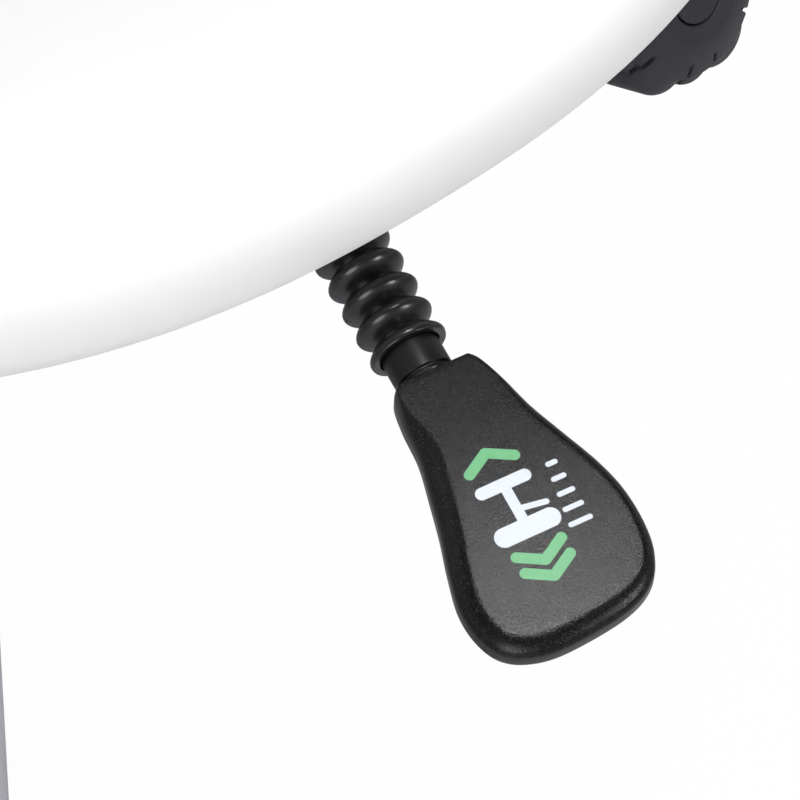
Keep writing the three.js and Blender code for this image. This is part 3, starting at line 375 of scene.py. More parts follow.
def cushion_section(sizes, slack):
    """Inset and height along the cushion's side. Below the widest line a quarter round falls to the
    underside. Above it the height is upper_high (1 - (1 - inset / upper_wide)^2.2)^(1 / 2.2), plus the
    crown times the smooth step of the inset over the half depth."""
    quarter = np.radians(np.linspace(90, 0, 18))
    waist = sizes.underside + sizes.lower_round
    low_inset = sizes.lower_round - (sizes.lower_round - slack) * np.cos(quarter)
    low_height = waist - (sizes.lower_round - slack) * np.sin(quarter)
    over = np.linspace(0, 1, 60)[1:] ** 1.6 * (sizes.half_y - slack) + slack
    lean = np.clip(1 - (over - slack) / (sizes.upper_wide - slack), 0, 1)
    rise = (sizes.upper_high - slack) * (1 - lean ** 2.2) ** (1 / 2.2)
    share = over / sizes.half_y
    high = waist + rise + sizes.crown * share ** 2 * (3 - 2 * share)
    inset = np.concatenate([low_inset, over[:-1]])
    return inset, np.concatenate([low_height, high[:-1]]), high[-1]


def cushion_rings(sizes, slack, inset, height, steps):
    """The plan ring of each inset at its height, drawn in by the inset on both sides."""
    rows = [
        np.c_[plan_ring(sizes.half_x - i, sizes.half_y - i, sizes.squareness, steps), np.full(steps, h)]
        for i, h in zip(inset, height)
    ]
    return np.array(rows)


def stuffed_form(sizes):
    """The closed cushion form, remeshed evenly and stuffed by a cloth simulation under pressure. The
    underside is held, as it is stapled to the board."""
    inset, height, top = cushion_section(sizes, sizes.slack)
    rings = cushion_rings(sizes, sizes.slack, inset, height, 96)
    form = surface("stuffed_form", rings, None, None, (0, 0, height[0]), (0, 0, top))
    scene = bpy.context.scene
    bpy.context.view_layer.objects.active = form
    remesh = form.modifiers.new("even", "REMESH")
    remesh.mode = "VOXEL"
    remesh.voxel_size = sizes.voxel
    apply_modifiers(form)
    rest = coordinates(form.data)
    held = form.vertex_groups.new(name="held")
    low = np.nonzero(rest[:, 2] < sizes.underside + 0.3 * sizes.lower_round)[0]
    held.add([int(i) for i in low], 1.0, "REPLACE")
    cloth = form.modifiers.new("stuffing", "CLOTH")
    settings = cloth.settings
    settings.quality = 5
    settings.mass = 0.3
    settings.use_pressure = True
    settings.uniform_pressure_force = sizes.pressure
    settings.effector_weights.gravity = 0
    settings.vertex_group_mass = "held"
    cloth.point_cache.frame_start = 1
    cloth.point_cache.frame_end = sizes.steps
    for step in range(1, sizes.steps + 1):
        scene.frame_set(step)
    apply_modifiers(form)
    scene.frame_set(1)
    return form


def apply_modifiers(piece):
    """Bakes a piece's modifiers into its mesh."""
    graph = bpy.context.evaluated_depsgraph_get()
    mesh = bpy.data.meshes.new_from_object(piece.evaluated_get(graph), depsgraph=graph)
    piece.modifiers.clear()
    piece.data = mesh


def coordinates(mesh):
    points = np.empty(len(mesh.vertices) * 3)
    mesh.vertices.foreach_get("co", points)
    return points.reshape(-1, 3)


def even_out(values, passes):
    """Averages each value of a grid of rings with its four neighbours, so the swelling has no ripples."""
    for _ in range(passes):
        up = np.vstack([values[:1], values[:-1]])
        down = np.vstack([values[1:], values[-1:]])
        values = (2 * values + up + down + np.roll(values, 1, 1) + np.roll(values, -1, 1)) / 6
    return values


# Shader building


def sock(tree, node, key, value):
    """Feeds a socket from another node's socket, or sets its value."""
    target = node.inputs[key]
    if isinstance(value, bpy.types.NodeSocket):
        tree.links.new(value, target)
    elif isinstance(value, (tuple, list)) and len(value) == 3 and target.type == "RGBA":
        target.default_value = (*value, 1.0)
    else:
        target.default_value = value


def shader_node(tree, kind, values=None, **settings):
    node = tree.nodes.new(kind)
    for key, value in settings.items():
        setattr(node, key, value)
    for key, value in (values or {}).items():
        sock(tree, node, key, value)
    return node


def maths(tree, operation, first, second=0.0, third=0.0, clamp=False):
    node = shader_node(tree, "ShaderNodeMath", {0: first, 1: second, 2: third}, operation=operation)
    node.use_clamp = clamp
    return node.outputs[0]


def vectors(tree, operation, first, second=(0, 0, 0), scale=1.0):
    node = shader_node(tree, "ShaderNodeVectorMath", {0: first, 1: second}, operation=operation)
    if operation == "SCALE":
        sock(tree, node, "Scale", scale)
    return node.outputs["Value"] if operation in ("DOT_PRODUCT", "DISTANCE") else node.outputs[0]


def mix_colours(tree, share, first, second):
    node = shader_node(tree, "ShaderNodeMix", data_type="RGBA")
    sock(tree, node, 0, share)
    sock(tree, node, 6, first)
    sock(tree, node, 7, second)
    return node.outputs[2]


def noise(tree, point, scale, detail=2.0, rough=0.5):
    values = {"Vector": point, "Scale": scale, "Detail": detail, "Roughness": rough}
    return shader_node(tree, "ShaderNodeTexNoise", values).outputs[0]


def new_group(name, inputs, outputs):
    """Empty shader group with its sockets. Each of them is (name, kind, default)."""
    group = bpy.data.node_groups.new(name, "ShaderNodeTree")
    for label, kind, default in inputs:
        made = group.interface.new_socket(name=label, in_out="INPUT", socket_type=kind)
        if default is not None:
            made.default_value = default
    for label, kind in outputs:
        group.interface.new_socket(name=label, in_out="OUTPUT", socket_type=kind)
    return group, group.nodes.new("NodeGroupInput"), group.nodes.new("NodeGroupOutput")


def grain_group():
    """Moulded or leathery grain: rounded cells of one size, broken up by a finer noise, and a glint mask that
    is 1 in the middle of every fifth cell or so, which the paddle's finish uses for painted highlights."""
    group, given, result = new_group(
        "surface_grain",
        [("Point", "NodeSocketVector", None), ("Cells", "NodeSocketFloat", 900.0),
         ("Fineness", "NodeSocketFloat", 0.5)],
        [("Height", "NodeSocketFloat"), ("Speck", "NodeSocketFloat")],
    )
    cells = shader_node(group, "ShaderNodeTexVoronoi", {"Vector": given.outputs[0], "Scale": given.outputs[1]},
                        feature="F1")
    fine = noise(group, given.outputs[0], maths(group, "MULTIPLY", given.outputs[1], 1.7), 2.0, 0.6)
    dome = maths(group, "SUBTRACT", 1.0, cells.outputs["Distance"])
    uneven = maths(group, "MULTIPLY", fine, given.outputs[2])
    group.links.new(maths(group, "ADD", dome, uneven), result.inputs[0])
    # Glint mask: the paddle paints these cells lighter, as a painted highlight for the lamps' glints on its glossy
    # grain.
    chance = shader_node(group, "ShaderNodeSeparateXYZ", {0: cells.outputs["Color"]}).outputs[0]
    chosen = maths(group, "MULTIPLY", maths(group, "SUBTRACT", chance, 0.45), 3.0, clamp=True)
    inner = maths(group, "SUBTRACT", 1.3, maths(group, "MULTIPLY", cells.outputs["Distance"], 2.2), clamp=True)
    group.links.new(maths(group, "MULTIPLY", chosen, inner), result.inputs[1])
    return group


def wear_group():
    """Handling marks: a roughness that drifts in broad soft patches and in fine smears."""
    group, given, result = new_group(
        "handling_marks",
        [("Point", "NodeSocketVector", None), ("Base", "NodeSocketFloat", 0.4), ("Spread", "NodeSocketFloat", 0.1),
         ("Patches", "NodeSocketFloat", 30.0)],
        [("Roughness", "NodeSocketFloat"), ("Patch", "NodeSocketFloat")],
    )
    broad = noise(group, given.outputs[0], given.outputs[3], 3.0, 0.55)
    stretched = vectors(group, "MULTIPLY", given.outputs[0], (1.0, 1.0, 6.0))
    smear = noise(group, stretched, maths(group, "MULTIPLY", given.outputs[3], 7.0), 2.0, 0.6)
    both = maths(group, "ADD", maths(group, "MULTIPLY", broad, 0.7), maths(group, "MULTIPLY", smear, 0.3))
    offset = maths(group, "MULTIPLY", maths(group, "SUBTRACT", both, 0.5), given.outputs[2])
    group.links.new(maths(group, "ADD", given.outputs[1], offset), result.inputs[0])
    group.links.new(both, result.inputs[1])
    return group


def drift_group():
    """Slight drift of a colour to a lighter and a darker tone in soft patches."""
    group, given, result = new_group(
        "tone_drift",
        [("Patch", "NodeSocketFloat", 0.5), ("Colour", "NodeSocketColor", None), ("Spread", "NodeSocketFloat", 0.1)],
        [("Colour", "NodeSocketColor")],
    )
    factor = maths(group, "ADD", 1.0, maths(group, "MULTIPLY", maths(group, "SUBTRACT", given.outputs[0], 0.5),
                                            given.outputs[2]))
    group.links.new(vectors(group, "SCALE", given.outputs[1], scale=factor), result.inputs[0])
    return group


def stroke_group():
    """Printed stroke: 1 where the point is within half the width of the line from start along span."""
    group, given, result = new_group(
        "printed_stroke",
        [("Point", "NodeSocketVector", None), ("Start", "NodeSocketVector", None), ("Span", "NodeSocketVector", None),
         ("Reach", "NodeSocketFloat", 1.0)],
        [("Mask", "NodeSocketFloat")],
    )
    offset = vectors(group, "SUBTRACT", given.outputs[0], given.outputs[1])
    onto = vectors(group, "DOT_PRODUCT", offset, given.outputs[2])
    whole = vectors(group, "DOT_PRODUCT", given.outputs[2], given.outputs[2])
    share = maths(group, "DIVIDE", onto, maths(group, "MAXIMUM", whole, 0.0001), clamp=True)
    nearest = vectors(group, "SCALE", given.outputs[2], scale=share)
    apart = vectors(group, "DISTANCE", offset, nearest)
    inside = maths(group, "MULTIPLY", maths(group, "SUBTRACT", given.outputs[3], apart), 9.0)
    group.links.new(maths(group, "ADD", inside, 0.5, clamp=True), result.inputs[0])
    return group


GROUP_MAKERS = {
    "surface_grain": grain_group,
    "handling_marks": wear_group,
    "tone_drift": drift_group,
    "printed_stroke": stroke_group,
}


def use_group(tree, name, values):
    group = bpy.data.node_groups.get(name) or GROUP_MAKERS[name]()
    node = tree.nodes.new("ShaderNodeGroup")
    node.node_tree = group
    for key, value in values.items():
        sock(tree, node, key, value)
    return node


def finish(name, colour, rough=0.4, spread=0.1, metal=0.0, patches=30.0, drift=0.15, cells=0.0, bump=0.0,
           depth=0.0001, specular=0.5, coat=0.0, fineness=0.5, extra=None):
    """Material with drifting tone, handling marks in its roughness and, if cells is set, a grain."""
    own_name = "stool_" + name
    found = bpy.data.materials.get(own_name)
    if found:
        return found
    material = bpy.data.materials.new(own_name)
    material.use_nodes = True
    tree = material.node_tree
    shader = tree.nodes["Principled BSDF"]
    point = shader_node(tree, "ShaderNodeTexCoord").outputs["Object"]
    marks = use_group(tree, "handling_marks", {"Point": point, "Base": rough, "Spread": spread, "Patches": patches})
    tone = use_group(tree, "tone_drift", {"Patch": marks.outputs["Patch"], "Colour": tuple(colour), "Spread": drift})
    parts = {"tree": tree, "point": point, "colour": tone.outputs[0], "rough": marks.outputs["Roughness"],
             "height": None}
    if cells:
        grain = use_group(tree, "surface_grain", {"Point": point, "Cells": cells, "Fineness": fineness})
        parts["height"] = grain.outputs["Height"]
        # Mask of the painted glints: lighter cells that stand in for glints of light.
        parts["speck"] = grain.outputs["Speck"]
    if extra:
        extra(parts)
    sock(tree, shader, "Base Color", parts["colour"])
    sock(tree, shader, "Roughness", parts["rough"])
    sock(tree, shader, "Metallic", metal)
    sock(tree, shader, "Specular IOR Level", specular)
    sock(tree, shader, "Coat Weight", coat)
    if parts["height"] is not None:
        relief = shader_node(tree, "ShaderNodeBump", {"Height": parts["height"], "Strength": bump, "Distance": depth})
        sock(tree, shader, "Normal", relief.outputs[0])
    return material


# The printed mark on the paddle, in millimetres: x to the sitter's front, y away from the seat.
# Each stroke is (x, y, x span, y span, half width).
MARK_PLACE = (25.5, -5.2)
GREEN_STROKES = [
    (0.9, 3.8, 5.9, -3.4, 1.35),
    (6.8, 0.4, 5.9, 3.4, 1.35),
    (0.9, 27.2, 5.9, 3.4, 1.35),
    (6.8, 30.6, 5.9, -3.4, 1.35),
    (0.9, 31.6, 5.9, 3.4, 1.35),
    (6.8, 35.0, 5.9, -3.4, 1.35),
]
WHITE_STROKES = [
    (0.8, 21.6, 12.0, 0.0, 2.5),
    (6.8, 20.0, 0.0, -10.0, 1.3),
    (6.8, 16.4, 7.0, 1.2, 0.75),
    (1.2, 9.4, 11.2, 0.0, 1.6),
    (18.6, 9.4, 1.8, 0.0, 0.65),
    (18.0, 13.4, 2.6, 0.0, 0.65),
    (17.4, 17.4, 3.4, 0.0, 0.65),
    (16.8, 21.4, 4.2, 0.0, 0.65),
    (16.2, 25.4, 5.0, 0.0, 0.65),
]


def printed_mark(colours):
    """Adds painted glints, lighter grain cells that stand in for the lamps' glints, and the mark: the greatest of its
    strokes, on the top face's own plane map.
    """

    def add(parts):
        tree = parts["tree"]
        # Painted highlight: the glint cells of the grain are made lighter, as glints of light on the glossy grain.
        parts["colour"] = mix_colours(tree, parts["speck"], parts["colour"], (0.03, 0.03, 0.033))
        plane = shader_node(tree, "ShaderNodeUVMap", uv_map="plane").outputs[0]
        for strokes, colour in ((GREEN_STROKES, colours.print_green), (WHITE_STROKES, colours.print_white)):
            mask = None
            for x, y, wide, high, reach in strokes:
                values = {"Point": plane, "Start": (y + MARK_PLACE[0], MARK_PLACE[1] + x, 0.0),
                          "Span": (high, wide, 0.0), "Reach": reach}
                stroke = use_group(tree, "printed_stroke", values).outputs[0]
                mask = stroke if mask is None else maths(tree, "MAXIMUM", mask, stroke)
            parts["colour"] = mix_colours(tree, mask, parts["colour"], tuple(colour))
            parts["rough"] = maths(tree, "ADD", parts["rough"], maths(tree, "MULTIPLY", mask, 0.04))

    return add


def board_layers(parts):
    """Thin darker veneer lines at even heights, and long soft figure along the board."""
    tree = parts["tree"]
    height = shader_node(tree, "ShaderNodeSeparateXYZ", {0: parts["point"]}).outputs[2]
    line = maths(tree, "FRACT", maths(tree, "MULTIPLY", height, 720.0))
    dark = maths(tree, "GREATER_THAN", line, 0.82)
    figure = noise(tree, vectors(tree, "MULTIPLY", parts["point"], (9.0, 90.0, 9.0)), 3.0, 4.0)
    tone = mix_colours(tree, maths(tree, "MULTIPLY", figure, 0.5), parts["colour"], (0.30, 0.17, 0.07))
    parts["colour"] = mix_colours(tree, maths(tree, "MULTIPLY", dark, 0.35), tone, (0.22, 0.12, 0.05))


def turned_lines(parts):
    """Fine lines round the piece, as a lathe or a seam leaves them."""
    tree = parts["tree"]
    stretched = vectors(tree, "MULTIPLY", parts["point"], (60.0, 60.0, 2600.0))
    lines = noise(tree, stretched, 1.0, 2.0)
    parts["height"] = lines


def finishes():
    """Every material by its slot."""
    c = bpy.context.scene.stool_colours
    leather = dict(rough=0.46, spread=0.06, patches=9.0, drift=0.02, cells=820.0, bump=0.12, depth=0.00006)
    return {
        "vinyl": finish("white_cover", c.cover, specular=0.42, **leather),
        "boot_rubber": finish("glossy_rubber", c.boot, 0.26, 0.1, patches=60.0, drift=0.4, specular=0.5),
        "collar_plastic": finish("collar_plastic", c.collar, 0.34, 0.1, patches=70.0, bump=0.05, depth=0.00002,
                                 specular=0.3, extra=turned_lines),
        "paddle_plastic": finish("grained_plastic", c.paddle, 0.24, 0.05, patches=25.0, cells=2700.0, bump=0.4,
                                 depth=0.0001, fineness=0.4, specular=0.25, extra=printed_mark(c)),
        "knob_plastic": finish("knob_plastic", c.knob, 0.46, 0.1, specular=0.25, patches=40.0, cells=2600.0, bump=0.1,
                               depth=0.00004),
        "silver": finish("silver_paint", c.silver, 0.36, 0.06, 0.65, 12.0, 0.08, 3200.0, 0.08, 0.00003, coat=0.2),
        "zinc": finish("zinc_plate", c.zinc, 0.34, 0.16, 0.9, 90.0, 0.3, 1500.0, 0.08, 0.00004),
        "bright_steel": finish("bright_steel", (0.6, 0.61, 0.62), 0.24, 0.1, 1.0, 60.0, 0.15, extra=turned_lines,
                               bump=0.08, depth=0.00003),
        "black_steel": finish("powder_coat", c.black_steel, 0.46, 0.1, 0.0, 30.0, 0.3, 1100.0, 0.3, 0.0001),
        "cylinder_black": finish("cylinder_black", (0.02, 0.02, 0.022), 0.22, 0.08, 0.0, 40.0, 0.2, extra=turned_lines,
                                 bump=0.05, depth=0.00002),
        "black_plastic": finish("black_plastic", (0.03, 0.03, 0.032), 0.48, 0.1, 0.0, 35.0, 0.2, 1700.0, 0.2, 0.00008),
        "base_rubber": finish("base_rubber", c.base_rubber, 0.6, 0.16, 0.0, 18.0, 0.35, 1000.0, 0.25, 0.0001),
        "iron": finish("cast_iron", (0.07, 0.07, 0.075), 0.72, 0.15, 0.7, 20.0, 0.5, 600.0, 0.6, 0.0003),
        "plywood": finish("birch_board", (0.5, 0.33, 0.17), 0.62, 0.1, 0.0, 15.0, 0.3, 1400.0, 0.1, 0.00005,
                          extra=board_layers),
        "foam": finish("seat_foam", (0.65, 0.55, 0.26), 0.95, 0.05, 0.0, 20.0, 0.3, 420.0, 0.8, 0.0006),
        "boss_plastic": finish("boss_plastic", c.paddle, 0.3, 0.08, patches=60.0),
    }


def dress(piece, slot):
    piece.data.materials.clear()
    piece.data.materials.append(finishes()[slot])


# Operators


class MakeCushion(bpy.types.Operator):
    """Seamless padded cushion, stuffed by a cloth simulation, with the opening for the carrier"""

    bl_idname = "stool.cushion"
    bl_label = "Cushion"

    def execute(self, context):
        sizes = context.scene.stool_cushion
        steps = 192
        inset, height, top = cushion_section(sizes, 0.0)
        skin = cushion_rings(sizes, 0.0, inset, height, steps)
        ceiling = sizes.underside + sizes.opening_depth
        under, edge = sizes.underside, sizes.opening_inset
        lip = [(edge + 1.2 * MM, ceiling), (edge, ceiling - 1.2 * MM), (edge, under + 2 * MM),
               (edge - 0.6 * MM, under + 0.5 * MM), (edge - 2 * MM, under), (edge - 14 * MM, under)]
        lip_rings = cushion_rings(sizes, 0.0, [i for i, _ in lip], [h for _, h in lip], steps)
        swelling = self.swelling(sizes, skin)
        rings = np.vstack([lip_rings, skin + swelling])
        crest = top + swelling[-1, :, 2].mean()
        piece = surface("seat_cushion", rings, "seat", "vinyl", (0, 0, ceiling), (0, 0, crest))
        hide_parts("seat_cover", "seat_foam")
        fine = piece.modifiers.new("fine", "SUBSURF")
        fine.levels = fine.render_levels = 1
        apply_modifiers(piece)
        return {"FINISHED"}

    def swelling(self, sizes, skin):
        """How far the stuffed cover stands off the plain form: along the way out, evened and capped."""
        form = stuffed_form(sizes)
        probe = surface("probe", skin, None, None)
        follow = probe.modifiers.new("follow", "SHRINKWRAP")
        follow.target = form
        follow.wrap_method = "NEAREST_SURFACEPOINT"
        apply_modifiers(probe)
        moved = coordinates(probe.data).reshape(skin.shape) - skin
        normals = outward(skin)
        reach = (moved * normals).sum(-1)
        free = np.clip((skin[:, :, 2] - sizes.underside) / (0.4 * sizes.lower_round), 0, 1)
        reach = np.clip(even_out(reach, 12), -sizes.slack, sizes.swell - sizes.slack) * free
        print("cushion swelling mm", np.round(reach.min() / MM, 2), np.round(reach.max() / MM, 2),
              np.round(reach.mean() / MM, 2))
        bpy.data.objects.remove(form)
        bpy.data.objects.remove(probe)
        return normals * reach[:, :, None]


def outward(skin):
    """Unit normals of a grid of rings, from the differences along and round it."""
    round_it = np.roll(skin, -1, 1) - np.roll(skin, 1, 1)
    along = np.gradient(skin, axis=0)
    normal = np.cross(round_it, along)
    return normal / np.maximum(np.linalg.norm(normal, axis=-1, keepdims=True), 1e-12)


class MakeBoot(bpy.types.Operator):
    """Ribbed glossy rubber boot on the lever, with its open rim"""

    # The radius goes from valley to rib as the square of the sine of the way along, to this power.
    RIB_POWER = 0.62
    LAST_RIB_SHARE = 0.58

    bl_idname = "stool.boot"
    bl_label = "Boot"

    def execute(self, context):
        sizes = context.scene.stool_lever
        start = -sizes.boot_back - (sizes.ribs - 0.5) * sizes.pitch
        share = np.linspace(0, sizes.ribs - 1 + self.LAST_RIB_SHARE, 24 * sizes.ribs)
        wave = (np.sin(np.pi * share) ** 2) ** self.RIB_POWER
        radius = sizes.valley_radius + (sizes.rib_radius - sizes.valley_radius) * wave
        outer = np.c_[radius, start + share * sizes.pitch]
        tip = outer[-1, 1] + 0.5 * MM
        well = tip - sizes.rim_depth
        rim = rounded([outer[-1], (outer[-1, 0] - 0.2 * MM, tip), (sizes.rim_radius, tip), (sizes.rim_radius, well),
                       (sizes.boot_bore, well), (sizes.boot_bore, start), outer[0]], 0.45 * MM)
        profile = np.vstack([outer, rim[1:]])
        piece = lathe("lever_boot", profile, lever_axes(sizes), "lever", "boot_rubber", 128, 55.0)
        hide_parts("lever_bellows")
        return {"FINISHED"}


class MakeCollar(bpy.types.Operator):
    """Satin collar tube, and the paddle's smooth boss that it meets"""

    bl_idname = "stool.collar"
    bl_label = "Collar"

    def execute(self, context):
        sizes = context.scene.stool_lever
        space = lever_axes(sizes)
        low, high, bore = -sizes.collar_back, -1 * MM, sizes.collar_bore
        groove = sizes.boss_radius - 0.5 * MM
        tube = rounded([(bore, low), (sizes.collar_radius, low), (sizes.collar_radius, high), (groove, high),
                        (groove, -0.3 * MM), (bore, -0.3 * MM), (bore, low)], 0.35 * MM)
        piece = lathe("collar_tube", tube, space, "lever", "collar_plastic")
        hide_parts("lever_collar")
        boss = rounded([(0, -0.15 * MM), (sizes.boss_radius, -0.15 * MM), (sizes.boss_tip, sizes.boss_long),
                        (0, sizes.boss_long)], 0.5 * MM)
        smooth_boss = lathe("paddle_boss", boss, space, "lever", "paddle_plastic")
        dress(smooth_boss, "boss_plastic")
        return {"FINISHED"}


def smooth_loop(points, samples, softness):
    """Closed curve through the points, with a straight last side: on each stretch a cubic that leaves and
    meets its end points along the line between their neighbours. The samples are spread evenly along the
    curve, and its two corners are softened by averaging over a length of softness."""
    points = np.asarray(points, float)
    share = np.linspace(0, 1, 40, endpoint=False)[:, None, None]
    long = np.vstack([2 * points[:1] - points[1:2], points, 2 * points[-1:] - points[-2:-1]])
    before, here, after, second = long[:-3], long[1:-2], long[2:-1], long[3:]
    curve = 0.5 * (2 * here + (after - before) * share
                   + (2 * before - 5 * here + 4 * after - second) * share ** 2
                   + (3 * here - before - 3 * after + second) * share ** 3)
    curve = np.vstack([curve.transpose(1, 0, 2).reshape(-1, 2), points[-1:]])
    looped = np.vstack([curve, curve[:1]])
    run = np.concatenate([[0], np.cumsum(np.linalg.norm(np.diff(looped, axis=0), axis=1))])
    wanted = np.linspace(0, run[-1], samples, endpoint=False)
    even = np.stack([np.interp(wanted, run, looped[:, i]) for i in (0, 1)], -1)
    reach = max(1, round(softness * samples / run[-1] / 2))
    weights = 1 - np.abs(np.arange(-reach, reach + 1)) / (reach + 1)
    return sum(w * np.roll(even, i - reach, 0) for i, w in enumerate(weights)) / weights.sum()


PADDLE_ALONG_SHARES = [0.0, 0.033, 0.124, 0.242, 0.366, 0.497, 0.615, 0.74, 0.844, 0.929, 0.98]
PADDLE_FRONT_SHARES = [0.38, 0.455, 0.56, 0.657, 0.784, 0.918, 0.993, 1.0, 0.941, 0.783, 0.458]
PADDLE_BACK_SHARES = [0.3, 0.36, 0.404, 0.427, 0.504, 0.593, 0.69, 0.769, 0.756, 0.655, 0.445]
PADDLE_TIP_SHARE = -0.12


class MakePaddle(bpy.types.Operator):
    """Grained plastic paddle with rounded edges and its printed mark"""

    bl_idname = "stool.paddle"
    bl_label = "Paddle"

    def outline(self, sizes):
        """Half widths to the sitter's front and back at shares of the length, smoothed into a loop."""
        along = np.array(PADDLE_ALONG_SHARES) * sizes.paddle_length
        front = np.c_[along, np.array(PADDLE_FRONT_SHARES) * sizes.paddle_half][::-1]
        back = np.c_[along, -np.array(PADDLE_BACK_SHARES) * sizes.paddle_half]
        tip = np.array([[sizes.paddle_length, sizes.paddle_half * PADDLE_TIP_SHARE]])
        return smooth_loop(np.vstack([back, tip, front]), 480, 1.2 * MM)

    def crest(self, sizes, flat):
        """Height of the top face: highest at 0.3 of the length, and falling by the square of the way from
        there and from the middle line."""
        away = (flat[:, 0] / sizes.paddle_length - 0.3) / 0.7
        aside = flat[:, 1] / sizes.paddle_half
        return sizes.paddle_thick + sizes.paddle_bow * (0.7 - away ** 2) + sizes.paddle_crown * (0.5 - aside ** 2)

    def execute(self, context):
        """The outline is drawn in to the middle for the top face, and out to it by a quarter round for the
        edge. The underside has the same rows, flat."""
        sizes = context.scene.stool_lever
        line = self.outline(sizes)
        ahead = np.roll(line, -3, 0) - np.roll(line, 3, 0)
        normal = np.c_[ahead[:, 1], -ahead[:, 0]] / np.linalg.norm(ahead, axis=1, keepdims=True)
        middle = np.array([0.55 * sizes.paddle_length, 0.0])
        thick = sizes.paddle_thick
        away = np.clip(line[:, 0] / (0.28 * sizes.paddle_length), 0, 1)
        front = np.clip(normal[:, 1], 0, 1)
        full = sizes.paddle_round + (sizes.front_round - sizes.paddle_round) * front
        edge = sizes.neck_edge + (full - sizes.neck_edge) * away ** 2 * (3 - 2 * away)
        inward = -normal * edge[:, None]
        rim = 0.3 * thick
        rows = []
        for share in np.linspace(0.04, 1, 24)[:-1]:
            inner = middle + (line + inward - middle) * share
            rows.append((inner, self.crest(sizes, inner), thick))
        for turn in np.radians(np.linspace(90, 0, 16)):
            flat = line + inward * (1 - math.cos(turn)) ** 0.9
            rise = math.sin(turn)
            rows.append((flat, rim + (self.crest(sizes, flat) - rim) * rise, rim + (thick - rim) * rise))
        top = [np.c_[flat, high] for flat, high, low in rows]
        bottom = [np.c_[flat, np.full(len(flat), -low)] for flat, high, low in rows[::-1]]
        local = np.array(top + bottom)[::-1]
        space = lever_axes(sizes, sizes.twist)
        flat_space = axes(space[:3, 1], space[:3, 2], space[:3, 0], space[:3, 3])
        peak = self.crest(sizes, middle[None])[0]
        piece = surface("paddle", put(local, flat_space), "lever", "paddle_plastic",
                        put(np.array([middle[0], 0, -thick]), flat_space),
                        put(np.array([middle[0], 0, peak]), flat_space), smooth=60.0)
        self.map_plane(piece, space)
        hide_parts("lever_paddle")
        return {"FINISHED"}

    def map_plane(self, piece, space):
        """Map of the paddle's own plane in millimetres: x away from the seat, y to the left. Below the
        middle the map lies far off, so nothing is printed there."""
        mesh = piece.data
        own = (coordinates(mesh) - space[:3, 3]) @ space[:3, :3]
        flat = np.c_[own[:, 2], own[:, 0]] / MM
        flat[own[:, 1] < 0] += 1000.0
        loops = np.empty(len(mesh.loops), np.int32)
        mesh.loops.foreach_get("vertex_index", loops)
        layer = mesh.uv_layers.new(name="plane")
        layer.data.foreach_set("uv", flat[loops].ravel())


# Lobes of the knob round its edge: the share of the turn that each takes, and of the full lobe depth.
LOBE_TURN_SHARES = [0.0688, 0.1174, 0.0688, 0.1174, 0.0688, 0.0688, 0.1174, 0.0688, 0.1174, 0.0688, 0.1174]
LOBE_RISE_SHARES = [0.35, 1.0, 0.35, 1.0, 0.35, 0.35, 1.0, 0.35, 1.0, 0.35, 1.0]


